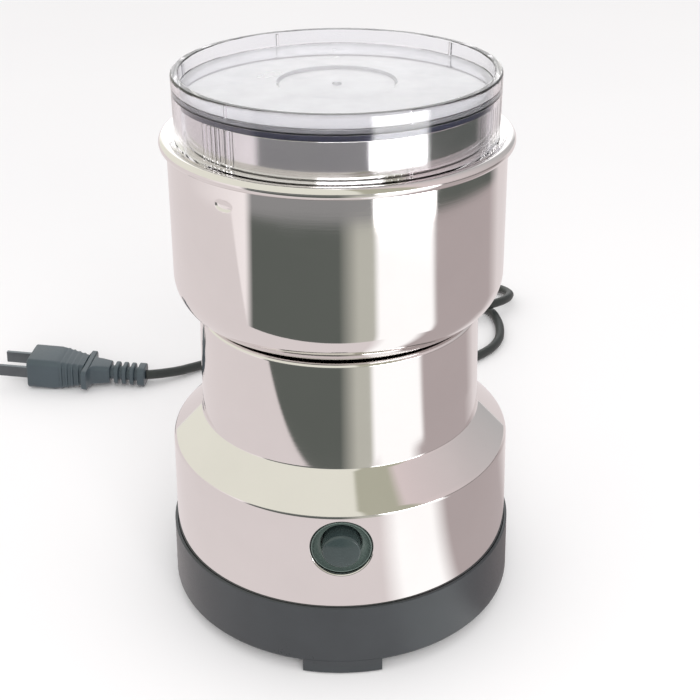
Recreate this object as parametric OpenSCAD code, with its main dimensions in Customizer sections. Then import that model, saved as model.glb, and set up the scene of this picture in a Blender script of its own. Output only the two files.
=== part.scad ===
// Small blade mill: a motor in a steel body, a steel grinding bowl above it and a clear lid.
// +Z is up, the button faces -Y, and the origin is under the middle of the body, on the table.

/* [Lid] */
// Outer radius of the clear lid
lid_r = 48; // [42:0.1:60]
// Thickness of the lid's wall
lid_wall = 2.3; // [1.6:0.1:3]
// Thickness of the lid's recessed plate
lid_plate_t = 1.5; // [1:0.1:2.5]
// Height of the lid's rim above its plate
lid_rim_h = 4.4; // [2:0.1:8]
// Radius of the sunken disc in the plate
lid_disc_r = 17.7; // [10:0.1:30]
// Number of thin upright ribs round the lid's wall
lid_ribs = 6; // [3:1:12]

/* [Bowl] */
// How far the casing's rolled rim stands out past the lid
rim_step = 4.7; // [4:0.1:8]
// Height of the bowl's casing up to the lid's ledge
bowl_h = 55.1; // [52:0.1:80]
// Radius of the casing's lower corner
bowl_corner_r = 12.4; // [8:0.1:16]
// Height of the grinding bowl's collar above the ledge
collar_h = 11.2; // [8:0.1:18]
// Depth of the grinding bowl below its collar's top edge
cup_depth = 51.9; // [42:0.1:55]

/* [Body] */
// Radius of the neck at its top
neck_r = 44; // [36.5:0.1:50]
// Height of the neck above the shoulder
neck_h = 35; // [30:0.1:45]
// Height of the sloping shoulder
shoulder_h = 9.6; // [8:0.1:14]
// Height of the steel skirt that shows below the shoulder
skirt_h = 33.4; // [27.5:0.1:45]
// Radius of the steel skirt at its foot
skirt_r = 56.1; // [53:0.1:68]
// Thickness of the pressed steel sheet
sheet = 0.7; // [0.5:0.1:1]

/* [Base] */
// Height of the moulded base between its underside and the steel
base_h = 21.1; // [18:0.1:30]
// Height of the three feet
foot_h = 4.3; // [3:0.1:8]
// Width of each foot along the base's edge
foot_w = 25; // [15:0.5:35]
// How far the base stands out past the steel skirt
base_lip = 0.9; // [0.8:0.1:2]

/* [Button] */
// Radius of the round hole in the skirt
button_hole_r = 9.4; // [8.1:0.1:10.5]
// Radius of the push button
button_r = 5.8; // [4:0.1:7]
// How far the button moves when it is pressed
button_travel = 3; // [1:0.1:4]

/* [Motor] */
// Radius of the motor's shaft
shaft_r = 3.5; // [3.1:0.1:4.3]
// Radius of the armature
armature_r = 14.9; // [12:0.1:17.9]
// Height of the stator's stack of plates
stack_h = 22; // [18:0.5:27]
// Reach of the grinding blade from the shaft
blade_reach = 31; // [20:0.5:38]

/* [Cord] */
// Diameter of the mains cord
cord_d = 4.2; // [3.5:0.1:4.6]

/* [Hidden] */
$fn = 96;
eps = 0.01;      // overrun of a cutting tool past a face
run_gap = 0.03;  // radial clearance of a running fit
slide_gap = 0.3; // clearance between pieces that move past each other
seal_t = 1.5;    // thickness of the ring under the lid's plate
fit_gap = 0.1;   // clearance of a piece that is dropped into its seat

// Levels from the table up
base_floor_t = 2.5;
seam_z = foot_h + base_h;
step_z = seam_z - 3.9;
skirt_top_z = seam_z + skirt_h;
neck_z = skirt_top_z + shoulder_h;
body_top_z = neck_z + neck_h;
casing_z = body_top_z + 0.4;
ledge_z = casing_z + bowl_h;
collar_top_z = ledge_z + collar_h;
cup_floor_z = collar_top_z - cup_depth;
lid_z = ledge_z + slide_gap;
plate_z = collar_top_z + slide_gap + seal_t;
lid_top_z = plate_z + lid_plate_t + lid_rim_h;

// Radii
skirt_top_r = skirt_r - 1.1;
neck_foot_r = neck_r + 1;
base_r = skirt_r + base_lip;
base_foot_r = base_r + 0.6;
base_wall = 2.1;
rim_bead_r = 1.8;
rim_r = lid_r + rim_step;
bowl_r = rim_r - 1.4;
bowl_top_r = rim_r - 2.2;
lid_in_r = lid_r - lid_wall;
cup_sheet = 0.8;
cup_r = lid_in_r - 1.1;
clamp_r = min(neck_r - 4.5, bowl_r - bowl_corner_r + 0.6);
flange_in_r = clamp_r - 7.5;
flange_bolt_r = clamp_r - 3.75;
cup_corner_r = 10;

// Motor levels, hung from the top of the body
bracket_t = 2.8;
bracket_z = body_top_z - sheet - bracket_t;
fan_h = 3.7;
fan_z = bracket_z - 0.6 - fan_h;
coil_end_h = 7;
stack_top_z = fan_z - 0.6 - coil_end_h;
stack_z = stack_top_z - stack_h;
brush_z = stack_z - 13.5;
commutator_r = 8;
low_bracket_z = stack_z - 26;
low_bracket_t = 4;
leg = [23, 21];
leg_r = 3;
long_screw_r = 1.5;
stator_size = [56, 54];
window_x = [11.8, 19.2];
window_y = [15.3, 22.7];
blade_z = cup_floor_z + 5;
blade_t = 1.5;
spacer_t = 1.8;
stub_r = 2.8;
hub_r = 13;

// Button and switch levels
button_z = skirt_top_z - 11.8;
button_face_y = -(skirt_r + 1.5);
collar_front_y = -(skirt_r - 1.4);
collar_flange_y = -(skirt_r - 3.5);
neck_back_y = -(skirt_r - 5.8);
collar_back_y = neck_back_y + 8.8;
switch_front_y = collar_back_y + 3.5;
switch_size = [20, 11, 14];
tab_l = 5.5;
stem_r = 1.8;

// Fixings
screw_r = 1.6;
base_screw_r = skirt_r - 8.1;
pad_r = base_foot_r - 7.6;
base_screw_angles = [0, 120, 240];
foot_angles = [30, 150, 270];

// Cord: the gland's place, the points of both free stretches and the coil
cord_r = cord_d / 2;
tie_t = 0.6;
coil_floor_z = cord_r + tie_t;
coil_step = cord_d + 0.6;
coil_top_z = coil_floor_z + coil_step;
coil_mid = [4, 209];
coil_r = 26;
coil_loops = 3.5;
route_to_coil = [
    [0, 84, 15], [0, 91, 15], [2, 101, 14.2], [6, 113, 12.8], [12, 126, 10.8], [20, 139, 8.6],
    [29, 151, 7.2], [37, 161, 5.4], [44, 171, 3.8], [51, 180.5, 3.4], [58.8, 187.4, 4.8],
    [67.3, 191.6, 6.6], [75.6, 195.2, 7.2], [82, 200.1, 7], [85.7, 207.2, 6], [86, 215.2, 4.1],
    [83, 222.6, 2.7], [77.1, 228, 2.1], [69.2, 230.9, 2.1], [58, 232.8, 2.1], [46, 234, 2.1],
    [33, 234.7, 2.1], [20, 235, 2.4],
    [8.2, 235, 2.7]];
route_to_plug = [
    [8.2, 183, 7.5], [17.5, 183.9, 7.1], [28.4, 189, 5.2], [38.7, 196.8, 3.2], [48.2, 203.9, 2.2],
    [55.7, 207.1, 2.1], [63.6, 206.9, 2.1], [70.7, 203.2, 2.1], [75.5, 196.9, 2.1], [77.4, 188.6, 2.1],
    [77.6, 177, 2.1], [74.6, 164.2, 2.1], [67, 153.3, 2.1], [56.6, 146, 2.1], [44, 143, 2.1],
    [30, 144, 2.1], [15, 148, 2.1], [0, 152, 2.1], [-15, 154.6, 2.1], [-30, 154.8, 2.1],
    [-43, 152.6, 2.1], [-54, 149.2, 2.1], [-63.5, 143.8, 2.3], [-68.2, 140.2, 2.8], [-72.6, 136.9, 3.3],
    [-77.5, 134.1, 3.9], [-82.3, 132, 4.4], [-86.8, 131, 4.6]];
plug_yaw = 175;
plug_tilt = 3.4; // the nose is thicker than the tail, so the axis rises towards it
plug_pins_apart = 12.7;
gland_tip_y = route_to_coil[0][1];
gland_z = route_to_coil[0][2];
gland_flange_r = 7.4;
gland_neck_r = 5.5;
base_in_r = base_foot_r - base_wall - 1;
gland_wall_y = sqrt(pow(base_in_r, 2) - pow(gland_flange_r, 2));
gland_in_y = gland_wall_y - 1.6;
anchor_y = gland_in_y - 5.4;
clamp_z = gland_z + cord_r + 0.2;

// --- helpers -------------------------------------------------------------------------------

function unit(v) = v / norm(v);
function reversed(list) = [for (i = [len(list) - 1 : -1 : 0]) list[i]];

// Points of an arc about c from angle a to angle b
function arc(c, r, a, b, steps = 12) =
    [for (i = [0 : steps]) let (t = a + (b - a) * i / steps) c + r * [cos(t), sin(t)]];

// Points that round the corner p between q and s with radius r
function corner(q, p, s, r, steps = 6) =
    let (u = unit(q - p), v = unit(s - p), half = acos(u * v) / 2, d = r / tan(half),
         c = p + unit(u + v) * r / sin(half), a = p + u * d - c, b = p + v * d - c)
    [for (i = [0 : steps]) let (t = i / steps, w = sin(180 - 2 * half))
        c + (sin((1 - t) * (180 - 2 * half)) * a + sin(t * (180 - 2 * half)) * b) / w];

// A path of [r, z, corner radius] made into points, its corners rounded
function rounded(path) =
    let (n = len(path), p = [for (e = path) [e[0], e[1]]])
    [for (i = [0 : n - 1]) each (i == 0 || i == n - 1 || path[i][2] == 0)
        ? [p[i]] : corner(p[i - 1], p[i], p[i + 1], path[i][2])];

// The same points moved t to the left of their own direction
function beside(points, t) =
    let (n = len(points))
    [for (i = [0 : n - 1])
        let (d = unit(points[min(i + 1, n - 1)] - points[max(i - 1, 0)]))
        points[i] + t * [-d[1], d[0]]];

// A rounded rectangle's outline about the origin
function round_rect(w, h, r) =
    [for (k = [0 : 3]) let (sx = [1, -1, -1, 1][k], sy = [1, 1, -1, -1][k])
        each arc([sx * (w / 2 - r), sy * (h / 2 - r)], r, 90 * k, 90 * k + 90, 5)];

// A point on the smooth curve through the points of list p, at step i + t
function curve_at(p, i, t) =
    let (n = len(p), a = p[max(i - 1, 0)], b = p[i], c = p[min(i + 1, n - 1)], d = p[min(i + 2, n - 1)])
    0.5 * (2 * b + (c - a) * t + (2 * a - 5 * b + 4 * c - d) * t * t
           + (3 * b - a - 3 * c + d) * t * t * t);
function curve(p, cuts) =
    [for (i = [0 : len(p) - 2]) for (k = [0 : cuts - 1]) curve_at(p, i, k / cuts), p[len(p) - 1]];
function path_length(p, i = 0, sum = 0) =
    i >= len(p) - 1 ? sum : path_length(p, i + 1, sum + norm(p[i + 1] - p[i]));

// A solid tube along points p; first and last give the directions of its end faces
module tube(p, r, sides, first, last) {
    n = len(p);
    rings = [for (i = [0 : n - 1])
        let (t = unit(i == 0 ? first : i == n - 1 ? last : p[i + 1] - p[i - 1]),
             s = unit(cross([0, 0, 1], t)), u = cross(t, s))
        each [for (k = [0 : sides - 1]) let (a = 90 + 360 * k / sides) p[i] + r * (cos(a) * s + sin(a) * u)]];
    walls = [for (i = [0 : n - 2]) for (k = [0 : sides - 1])
        let (a = i * sides + k, b = i * sides + (k + 1) % sides)
        each [[a, a + sides, b], [b, a + sides, b + sides]]];
    ends = [for (k = [1 : sides - 2])
        each [[0, k, k + 1], [(n - 1) * sides, (n - 1) * sides + k + 1, (n - 1) * sides + k]]];
    polyhedron(points = rings, faces = concat(walls, ends), convexity = 8);
}

module ring(r_out, r_in, z0, z1) {
    translate([0, 0, z0]) difference() {
        cylinder(r = r_out, h = z1 - z0);
        translate([0, 0, -1]) cylinder(r = r_in, h = z1 - z0 + 2);
    }
}

module along_y(y) { translate([0, y, button_z]) rotate([-90, 0, 0]) children(); }
module at_legs() { for (sx = [-1, 1], sy = [-1, 1]) translate([sx * leg[0], sy * leg[1], 0]) children(); }

// --- lid -----------------------------------------------------------------------------------

lid_rib_first = -129.5;
lid_rib_shifts = [0, 4.5, -4.5, -11.5, 4, 2.5]; // how far the ribs stand off equal steps, degrees
lid_rib_w = 0.8;
flute_steps = [4.2, 6.6, 9, 11.4];
disc_depth = 0.7;

module lid() {
    edge_r = 0.7;
    inner_top = [lid_in_r, lid_top_z, 0.5];
    profile = concat(
        [[0, plate_z]],
        [[lid_disc_r - 1.2, plate_z]],
        [[lid_in_r, plate_z], [lid_in_r, lid_z], [lid_r, lid_z]],
        corner([lid_r, lid_z], [lid_r, lid_top_z], [lid_in_r, lid_top_z], edge_r),
        corner([lid_r, lid_top_z], [lid_in_r, lid_top_z], [lid_in_r, plate_z], inner_top[2]),
        corner([lid_in_r, lid_top_z], [lid_in_r, plate_z + lid_plate_t], [0, plate_z + lid_plate_t], 0.6),
        [[lid_disc_r, plate_z + lid_plate_t]],
        [[lid_disc_r - 0.8, plate_z + lid_plate_t - disc_depth]],
        [[0, plate_z + lid_plate_t - disc_depth]]);
    color([0.86, 0.87, 0.9, 0.4]) {
        rotate_extrude() polygon(profile);
        translate([0, 0, plate_z + lid_plate_t - disc_depth - eps]) cylinder(r1 = 1.5, r2 = 0.9, h = 0.6);
        for (k = [0 : lid_ribs - 1])
            rotate([0, 0, lid_rib_first + k * 360 / lid_ribs + lid_rib_shifts[k % 6]]) {
                rib(lid_z + 0.3, plate_z - seal_t - 0.2, 0.6, lid_rib_w);
                rib(plate_z + lid_plate_t - eps, lid_top_z - 0.5, 0.5, lid_rib_w);
                for (a = flute_steps) rotate([0, 0, -a])
                    rib(lid_z + 0.6, plate_z - seal_t - 0.2, 0.3, 0.7);
            }
    }
}

module rib(z0, z1, proud, w) {
    translate([lid_in_r - proud, -w / 2, z0]) cube([proud + 0.5, w, z1 - z0]);
}

module lid_seal() {
    color([0.17, 0.17, 0.22]) ring(lid_in_r - fit_gap, cup_r - 1.1, plate_z - seal_t, plate_z);
}

// --- bowl ----------------------------------------------------------------------------------

dimple_r = 8.2;
module outer_bowl() {
    bead = [rim_r - rim_bead_r, ledge_z - 1.1];
    wall_top = [bowl_top_r, bead[1] - 1.7];
    bottom = rounded([[flange_in_r, casing_z, 0], [bowl_r, casing_z, bowl_corner_r],
                      [wall_top[0], wall_top[1], 0]]);
    inside = beside(bottom, sheet);
    profile = concat(bottom, arc(bead, rim_bead_r, -100, 130, 14),
                     [[lid_r + 0.9, ledge_z], [cup_r, ledge_z], [cup_r, ledge_z - sheet]],
                     [[bowl_top_r - sheet, ledge_z - sheet]], reversed(inside));
    color([0.8, 0.79, 0.78]) difference() {
        rotate_extrude() polygon(profile);
        for (a = [0 : 2]) rotate([0, 0, 120 * a + 30]) translate([flange_bolt_r, 0, casing_z - 1])
            cylinder(r = screw_r + fit_gap, h = 3);
        rotate([0, 0, -128]) translate([bowl_top_r + dimple_r - 0.25, 0, ledge_z - 8.5]) sphere(r = dimple_r);
    }
}

// Flange, wall and floor of the cup that holds the grain
module grinding_bowl() {
    outside = rounded([[6.1, cup_floor_z - cup_sheet, 0], [cup_r, cup_floor_z - cup_sheet, cup_corner_r],
                       [cup_r, collar_top_z - 0.6, 0]]);
    inside = beside(outside, cup_sheet);
    lip = arc([cup_r - 0.4, collar_top_z - 0.4], 0.4, 0, 180, 6);
    color([0.75, 0.74, 0.72]) rotate_extrude() polygon(concat(outside, lip, reversed(inside)));
}

// Disc that carries the cup and clamps the casing to the neck
module bowl_support() {
    disc_z = casing_z + sheet;
    disc_t = 3;
    hub_top_z = cup_floor_z - cup_sheet;
    color([0.2, 0.21, 0.22]) difference() {
        union() {
            translate([0, 0, disc_z]) cylinder(r = clamp_r - 1, h = disc_t);
            translate([0, 0, disc_z]) cylinder(r = hub_r, h = hub_top_z - disc_z);
            for (a = [0 : 5]) rotate([0, 0, 60 * a])
                translate([hub_r - 1, -1, disc_z]) cube([20, 2, hub_top_z - disc_z - 1]);
        }
        translate([0, 0, disc_z - 1]) cylinder(r = bush_r, h = bush_h + 1);
        translate([0, 0, disc_z]) cylinder(r = shaft_r + 1.5, h = hub_top_z - disc_z + 1);
        for (a = [0 : 2]) rotate([0, 0, 120 * a + 30]) translate([flange_bolt_r, 0, disc_z - 1])
            cylinder(r = screw_r, h = disc_t + 2);
    }
}

module bowl_screws() {
    color("silver") for (a = [0 : 2]) rotate([0, 0, 120 * a + 30]) translate([flange_bolt_r, 0, 0]) {
        translate([0, 0, bracket_z - 1.8]) cylinder(r = 3, h = 1.8);
        translate([0, 0, bracket_z - eps]) cylinder(r = screw_r, h = casing_z + sheet + 3 - bracket_z);
    }
}

module shaft_seal() {
    color([0.12, 0.12, 0.12]) rotate_extrude() polygon([
        [shaft_r + 2 * run_gap, cup_floor_z - cup_sheet], [6.1, cup_floor_z - cup_sheet],
        [6.1, cup_floor_z], [7.6, cup_floor_z], [7.2, cup_floor_z + 1.2],
        [shaft_r + 2 * run_gap, cup_floor_z + 2]]);
}

// --- body ----------------------------------------------------------------------------------

module body_shell() {
    outside = rounded([
        [skirt_r, shell_foot_z, 0], [skirt_top_r, skirt_top_z, 3], [neck_foot_r, neck_z, 1.5],
        [neck_r, body_top_z, 1.2], [flange_in_r, body_top_z, 0]]);
    color([0.82, 0.81, 0.8]) difference() {
        rotate_extrude() polygon(concat(outside, reversed(beside(outside, sheet))));
        along_y(-skirt_r - 5) cylinder(r = button_hole_r, h = 20);
        for (a = [0 : 2]) rotate([0, 0, 120 * a + 30]) translate([flange_bolt_r, 0, body_top_z - 2])
            cylinder(r = screw_r + fit_gap, h = 3);
    }
}

// Three bent tabs welded inside the skirt's foot, which the base's screws pull on
lug_t = 1.5;
lug_h = 11;
shell_foot_z = step_z + 0.1;
skirt_lean = (skirt_r - skirt_top_r) / (skirt_top_z - shell_foot_z);
function shell_in_r(z) = skirt_r - skirt_lean * (z - shell_foot_z) - sheet * norm([1, skirt_lean]);

module shell_lugs() {
    z0 = step_z + 0.2;
    z1 = z0 + lug_h;
    color("silver") for (a = base_screw_angles) rotate([0, 0, a]) difference() {
        intersection() {
            rotate_extrude() polygon([
                [base_screw_r - 5, z0], [shell_in_r(z0), z0], [shell_in_r(z1), z1],
                [shell_in_r(z1) - lug_t, z1], [shell_in_r(z0) - lug_t, z0 + lug_t],
                [base_screw_r - 5, z0 + lug_t]]);
            translate([base_screw_r - 6, -6, z0 - 1]) cube([20, 12, lug_h + 2]);
        }
        translate([base_screw_r, 0, z0 - 1]) cylinder(r = screw_r, h = 5);
    }
}

module base_cover() {
    floor_z = foot_h + base_floor_t;
    outer = rounded([[0, foot_h, 0], [base_foot_r, foot_h, 1.2], [base_r, seam_z, 0.25],
                     [skirt_r + 0.05, seam_z, 0]]);
    profile = concat(outer, [
        [skirt_r + 0.05, step_z], [skirt_r + 0.05 - 1.4, step_z],
        [base_in_r, floor_z], [0, floor_z]]);
    color([0.15, 0.16, 0.15]) difference() {
        union() {
            rotate_extrude() polygon(profile);
            for (a = base_screw_angles) rotate([0, 0, a]) translate([base_screw_r, 0, foot_h + 0.5])
                cylinder(r = 4.2, h = step_z - foot_h - 0.5);
            for (a = foot_angles) rotate([0, 0, a]) foot();
            translate([-12, anchor_y - 4, floor_z - 0.5]) cube([24, 8, 0.5 + gland_z - cord_r - floor_z]);
            for (s = [-1, 1]) translate([8 * s, anchor_y, floor_z - 0.5])
                cylinder(r = 3.2, h = 0.5 + clamp_z - floor_z);
        }
        for (a = base_screw_angles) rotate([0, 0, a]) translate([base_screw_r, 0, 0]) {
            cylinder(r = screw_r + fit_gap, h = seam_z);
            cylinder(r = 3.6, h = foot_h + 2.2);
        }
        for (s = [-1, 1]) translate([8 * s, anchor_y, clamp_z - 8]) cylinder(r = 1.3, h = 9);
        for (k = [0 : 11]) rotate([0, 0, 30 * k + 15]) translate([18, -1.6, 0])
            cube([16, 3.2, floor_z + 1]);
        translate([0, anchor_y, gland_z]) rotate([-90, 0, 0]) cylinder(r = gland_neck_r, h = 30);
        translate([0, 0, -1]) for (a = foot_angles) rotate([0, 0, a]) pad(1 + pad_t, 0);
    }
}

// One moulded foot: a slice of the base's edge
module foot() {
    intersection() {
        ring(base_foot_r, base_foot_r - 14.6, pad_proud, foot_h + 1);
        translate([pad_r - 10, -foot_w / 2, 0]) cube([30, foot_w, foot_h + 2]);
    }
}

pad_t = 1.6;
pad_proud = 0.6;
module pad(h, shrink) {
    translate([pad_r, 0, 0]) linear_extrude(h) polygon(round_rect(7 - shrink, foot_w - 8 - shrink, 2));
}
module foot_pads() {
    color([0.1, 0.1, 0.1]) for (a = foot_angles) rotate([0, 0, a]) pad(pad_t, 0);
}

module base_screws() {
    color("silver") for (a = base_screw_angles) rotate([0, 0, a]) translate([base_screw_r, 0, 0]) {
        translate([0, 0, foot_h + 0.4]) cylinder(r = 3.2, h = 1.8);
        translate([0, 0, foot_h + 2]) cylinder(r = screw_r, h = step_z - foot_h + 1);
    }
}

// --- button and switch ---------------------------------------------------------------------

collar_bore_r = button_r + slide_gap;
button_flange_r = button_r + 1.3;
collar_flange_r = max(button_hole_r + 1.6, switch_size[0] / 2 + 1.4);

module button_cap() {
    stem_end_y = switch_front_y - 2;
    color([0.2, 0.24, 0.23]) {
        along_y(button_face_y) rotate_extrude() polygon(concat(
            [[0, 0.3]], arc([button_r - 1.2, 1.2], 1.2, -90, 0, 6),
            [[button_r, neck_back_y + slide_gap - button_face_y]],
            [[button_flange_r, neck_back_y + slide_gap - button_face_y]],
            [[button_flange_r, neck_back_y + 1.6 - button_face_y]],
            [[stem_r, neck_back_y + 1.6 - button_face_y]],
            [[stem_r, stem_end_y - button_face_y], [0, stem_end_y - button_face_y]]));
    }
}

module button_collar() {
    color([0.14, 0.16, 0.15]) {
        along_y(collar_front_y) rotate_extrude() polygon([
            [collar_bore_r, 3.2], [collar_bore_r + 0.4, 2.6], [button_hole_r - 1.1, 0.4],
            [button_hole_r - 0.7, 0], [button_hole_r - 0.3, 0.2],
            [button_hole_r - 0.3, collar_flange_y - collar_front_y],
            [collar_flange_r, collar_flange_y - collar_front_y],
            [collar_flange_r, collar_flange_y - collar_front_y + 1.6],
            [button_flange_r + 2.2, collar_flange_y - collar_front_y + 1.6],
            [button_flange_r + 2.2, collar_back_y - collar_front_y],
            [stem_r + slide_gap, collar_back_y - collar_front_y],
            [stem_r + slide_gap, collar_back_y - 1.2 - collar_front_y],
            [button_flange_r + slide_gap, collar_back_y - 1.2 - collar_front_y],
            [button_flange_r + slide_gap, neck_back_y - collar_front_y],
            [collar_bore_r, neck_back_y - collar_front_y]]);
        for (s = [0, 1]) mirror([s, 0, 0])
            translate([switch_size[0] / 2 + 0.1, collar_flange_y + 1, button_z - 4])
                cube([1.8, switch_front_y + switch_size[1] + 1 - collar_flange_y - 1, 8]);
    }
}

module button_spring() {
    turns = 4;
    coil_mid_r = 4.2;
    y0 = neck_back_y + 2.2;
    y1 = collar_back_y - 1.9;
    points = [for (i = [0 : turns * 8]) let (a = 360 * i / 8)
        [coil_mid_r * cos(a), y0 + (y1 - y0) * i / (turns * 8), button_z + coil_mid_r * sin(a)]];
    color("silver") spring_tube(points, 0.35);
}

// A tube of five sides along a small spring's points
module spring_tube(p, r) {
    n = len(p);
    sides = 5;
    rings = [for (i = [0 : n - 1])
        let (t = unit(p[min(i + 1, n - 1)] - p[max(i - 1, 0)]), mid = (p[0] + p[n - 1]) / 2,
             s = unit(cross(t, p[i] - mid + [0.01, 0.02, 0.03])), u = cross(s, t))
        each [for (k = [0 : sides - 1]) let (a = 360 * k / sides) p[i] + r * (cos(a) * s + sin(a) * u)]];
    walls = [for (i = [0 : n - 2]) for (k = [0 : sides - 1])
        let (a = i * sides + k, b = i * sides + (k + 1) % sides)
        each [[a, b, a + sides], [b, b + sides, a + sides]]];
    ends = [for (k = [1 : sides - 2])
        each [[0, k + 1, k], [(n - 1) * sides, (n - 1) * sides + k, (n - 1) * sides + k + 1]]];
    polyhedron(points = rings, faces = concat(walls, ends), convexity = 8);
}

module switch_body() {
    back_y = switch_front_y + switch_size[1];
    color([0.25, 0.25, 0.27]) difference() {
        union() {
            translate([-switch_size[0] / 2, switch_front_y, button_z - switch_size[2] / 2]) cube(switch_size);
            for (s = [-1, 1]) translate([s * 5 - 0.4, back_y - 0.5, button_z - 2])
                cube([0.8, tab_l + 0.5, 4]);
        }
        along_y(switch_front_y - 3) cylinder(r = stem_r + slide_gap, h = 11);
    }
}

// --- motor ---------------------------------------------------------------------------------

bush_r = 6.5;
bush_h = 7;
low_hub_r = 10;

module motor_top_bracket() {
    color([0.25, 0.26, 0.27]) difference() {
        union() {
            translate([0, 0, bracket_z]) cylinder(r = clamp_r - 0.6, h = bracket_t);
            translate([0, 0, stack_top_z]) at_legs() cylinder(r = leg_r, h = bracket_z - stack_top_z + 1);
        }
        translate([0, 0, bracket_z - 1]) cylinder(r = bush_r + 1, h = bracket_t + 2);
        translate([0, 0, stack_top_z - 1]) at_legs() 
            cylinder(r = long_screw_r, h = bracket_z + bracket_t - stack_top_z + 2);
        for (a = [0 : 2]) rotate([0, 0, 120 * a + 30]) translate([flange_bolt_r, 0, bracket_z - 1])
            cylinder(r = screw_r + fit_gap, h = bracket_t + 2);
        for (k = [0 : 5]) rotate([0, 0, 60 * k]) translate([12, -2, bracket_z - 1])
            cube([11, 4, bracket_t + 2]);
    }
}

module motor_bottom_bracket() {
    color([0.25, 0.26, 0.27]) difference() {
        union() {
            translate([0, 0, low_bracket_z]) linear_extrude(low_bracket_t) 
                polygon(round_rect(2 * leg[0] + 8, 2 * leg[1] + 7, 7));
            translate([0, 0, low_bracket_z - 3]) cylinder(r = low_hub_r, h = 4);
            translate([0, 0, low_bracket_z + 1]) at_legs()
                cylinder(r = leg_r, h = stack_z - low_bracket_z - 1);
            for (s = [-1, 1]) translate([s * 17 - 4, -4, low_bracket_z + 1])
                cube([8, 8, brush_z - holder_size / 2 - low_bracket_z - 1]);
        }
        translate([0, 0, low_bracket_z - 4]) cylinder(r = bush_r, h = low_bracket_t + 5);
        translate([0, 0, low_bracket_z - 1]) at_legs()
            cylinder(r = long_screw_r, h = stack_z - low_bracket_z + 2);
        for (sy = [-1, 1], sx = [-1, 0, 1]) translate([sx * 12 - 3, sy * 15 - 3, low_bracket_z - 1])
            cube([6, 6, low_bracket_t + 2]);
    }
}

module motor_screws() {
    color("silver") at_legs() {
        translate([0, 0, low_bracket_z - 1.8]) cylinder(r = 2.8, h = 1.8);
        translate([0, 0, low_bracket_z - eps])
            cylinder(r = long_screw_r, h = bracket_z + bracket_t - 0.3 - low_bracket_z);
    }
}

module stator_core() {
    color([0.45, 0.46, 0.48]) difference() {
        translate([0, 0, stack_z]) linear_extrude(stack_h)
            polygon(round_rect(stator_size[0], stator_size[1], 10));
        translate([0, 0, stack_z - 1]) cylinder(r = armature_r + 0.5, h = stack_h + 2);
        translate([0, 0, stack_z - 1]) at_legs() cylinder(r = long_screw_r, h = stack_h + 2);
        for (sx = [0, 1], sy = [0, 1]) mirror([sx, 0, 0]) mirror([0, sy, 0])
            translate([window_x[0], window_y[0], stack_z - 1])
                cube([window_x[1] - window_x[0], window_y[1] - window_y[0], stack_h + 2]);
    }
}

module field_coils() {
    y0 = window_y[0] + 0.2;
    t = window_y[1] - window_y[0] - 0.4;
    color([0.72, 0.38, 0.18]) for (s = [0, 180]) rotate([0, 0, s])
        translate([0, y0 + t, stack_z + stack_h / 2]) rotate([90, 0, 0]) linear_extrude(t) difference() {
            polygon(round_rect(2 * window_x[1] - 0.4, stack_h + 2 * coil_end_h, 6));
            polygon(round_rect(2 * window_x[0] + 0.4, stack_h + 0.4, 0.5));
        }
}

module motor_shaft() {
    shoulder_z = blade_z - spacer_t;
    color("silver") {
        translate([0, 0, low_bracket_z - 4]) cylinder(r = shaft_r, h = shoulder_z - low_bracket_z + 4);
        translate([0, 0, shoulder_z - eps]) cylinder(r = stub_r, h = spacer_t + blade_t + 4);
    }
}

module armature_core() {
    color([0.5, 0.51, 0.53]) difference() {
        translate([0, 0, stack_z]) cylinder(r = armature_r, h = stack_h);
        translate([0, 0, stack_z - 1]) cylinder(r = shaft_r, h = stack_h + 2);
        for (k = [0 : 11]) rotate([0, 0, 30 * k]) translate([armature_r - 5.1, -1, stack_z - 1])
            cube([10, 2, stack_h + 2]);
    }
}

module armature_winding() {
    end_h = 5.5;
    color([0.78, 0.42, 0.2]) {
        for (z = [stack_z - end_h, stack_top_z]) ring(armature_r - 1.5, shaft_r + 1.5, z, z + end_h);
        for (k = [0 : 11]) rotate([0, 0, 30 * k]) translate([armature_r - 5, -0.9, stack_z - 1])
            cube([3.4, 1.8, stack_h + 2]);
    }
}

module commutator() {
    color([0.8, 0.5, 0.3]) difference() {
        ring(commutator_r, shaft_r, brush_z - 4.5, brush_z + 6);
        for (k = [0 : 11]) rotate([0, 0, 30 * k]) translate([commutator_r - 0.7, -0.25, brush_z - 5])
            cube([2, 0.5, 9]);
    }
}

module cooling_fan() {
    fan_r = 24;
    color([0.85, 0.85, 0.82]) {
        ring(7, shaft_r, fan_z, fan_z + fan_h);
        ring(fan_r, 6, fan_z, fan_z + 0.9);
        for (k = [0 : 11]) rotate([0, 0, 30 * k]) translate([6.5, -0.5, fan_z])
            cube([fan_r - 7, 1, fan_h]);
    }
}

module bush(z) {
    color([0.7, 0.55, 0.3]) ring(bush_r, shaft_r + run_gap, z, z + bush_h);
}
module upper_bearing() { bush(casing_z + sheet); }
module lower_bearing() { bush(low_bracket_z - 3); }

holder_size = 8;
brush_size = 5;
holder_x = [9.2, 25];
module brush_holders() {
    wall = (holder_size - brush_size) / 2 - 0.1;
    color([0.75, 0.6, 0.3]) for (s = [0, 180]) rotate([0, 0, s]) difference() {
        translate([holder_x[0], -holder_size / 2, brush_z - holder_size / 2])
            cube([holder_x[1] - holder_x[0], holder_size, holder_size]);
        translate([holder_x[0] - 1, wall - holder_size / 2, brush_z - holder_size / 2 + wall])
            cube([holder_x[1] - holder_x[0], holder_size - 2 * wall, holder_size - 2 * wall]);
    }
}

brush_back_x = 19;
module carbon_brushes() {
    color([0.15, 0.15, 0.16]) for (s = [0, 180]) rotate([0, 0, s])
        translate([commutator_r + slide_gap, -brush_size / 2, brush_z - brush_size / 2])
            cube([brush_back_x - commutator_r - slide_gap, brush_size, brush_size]);
}

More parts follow.
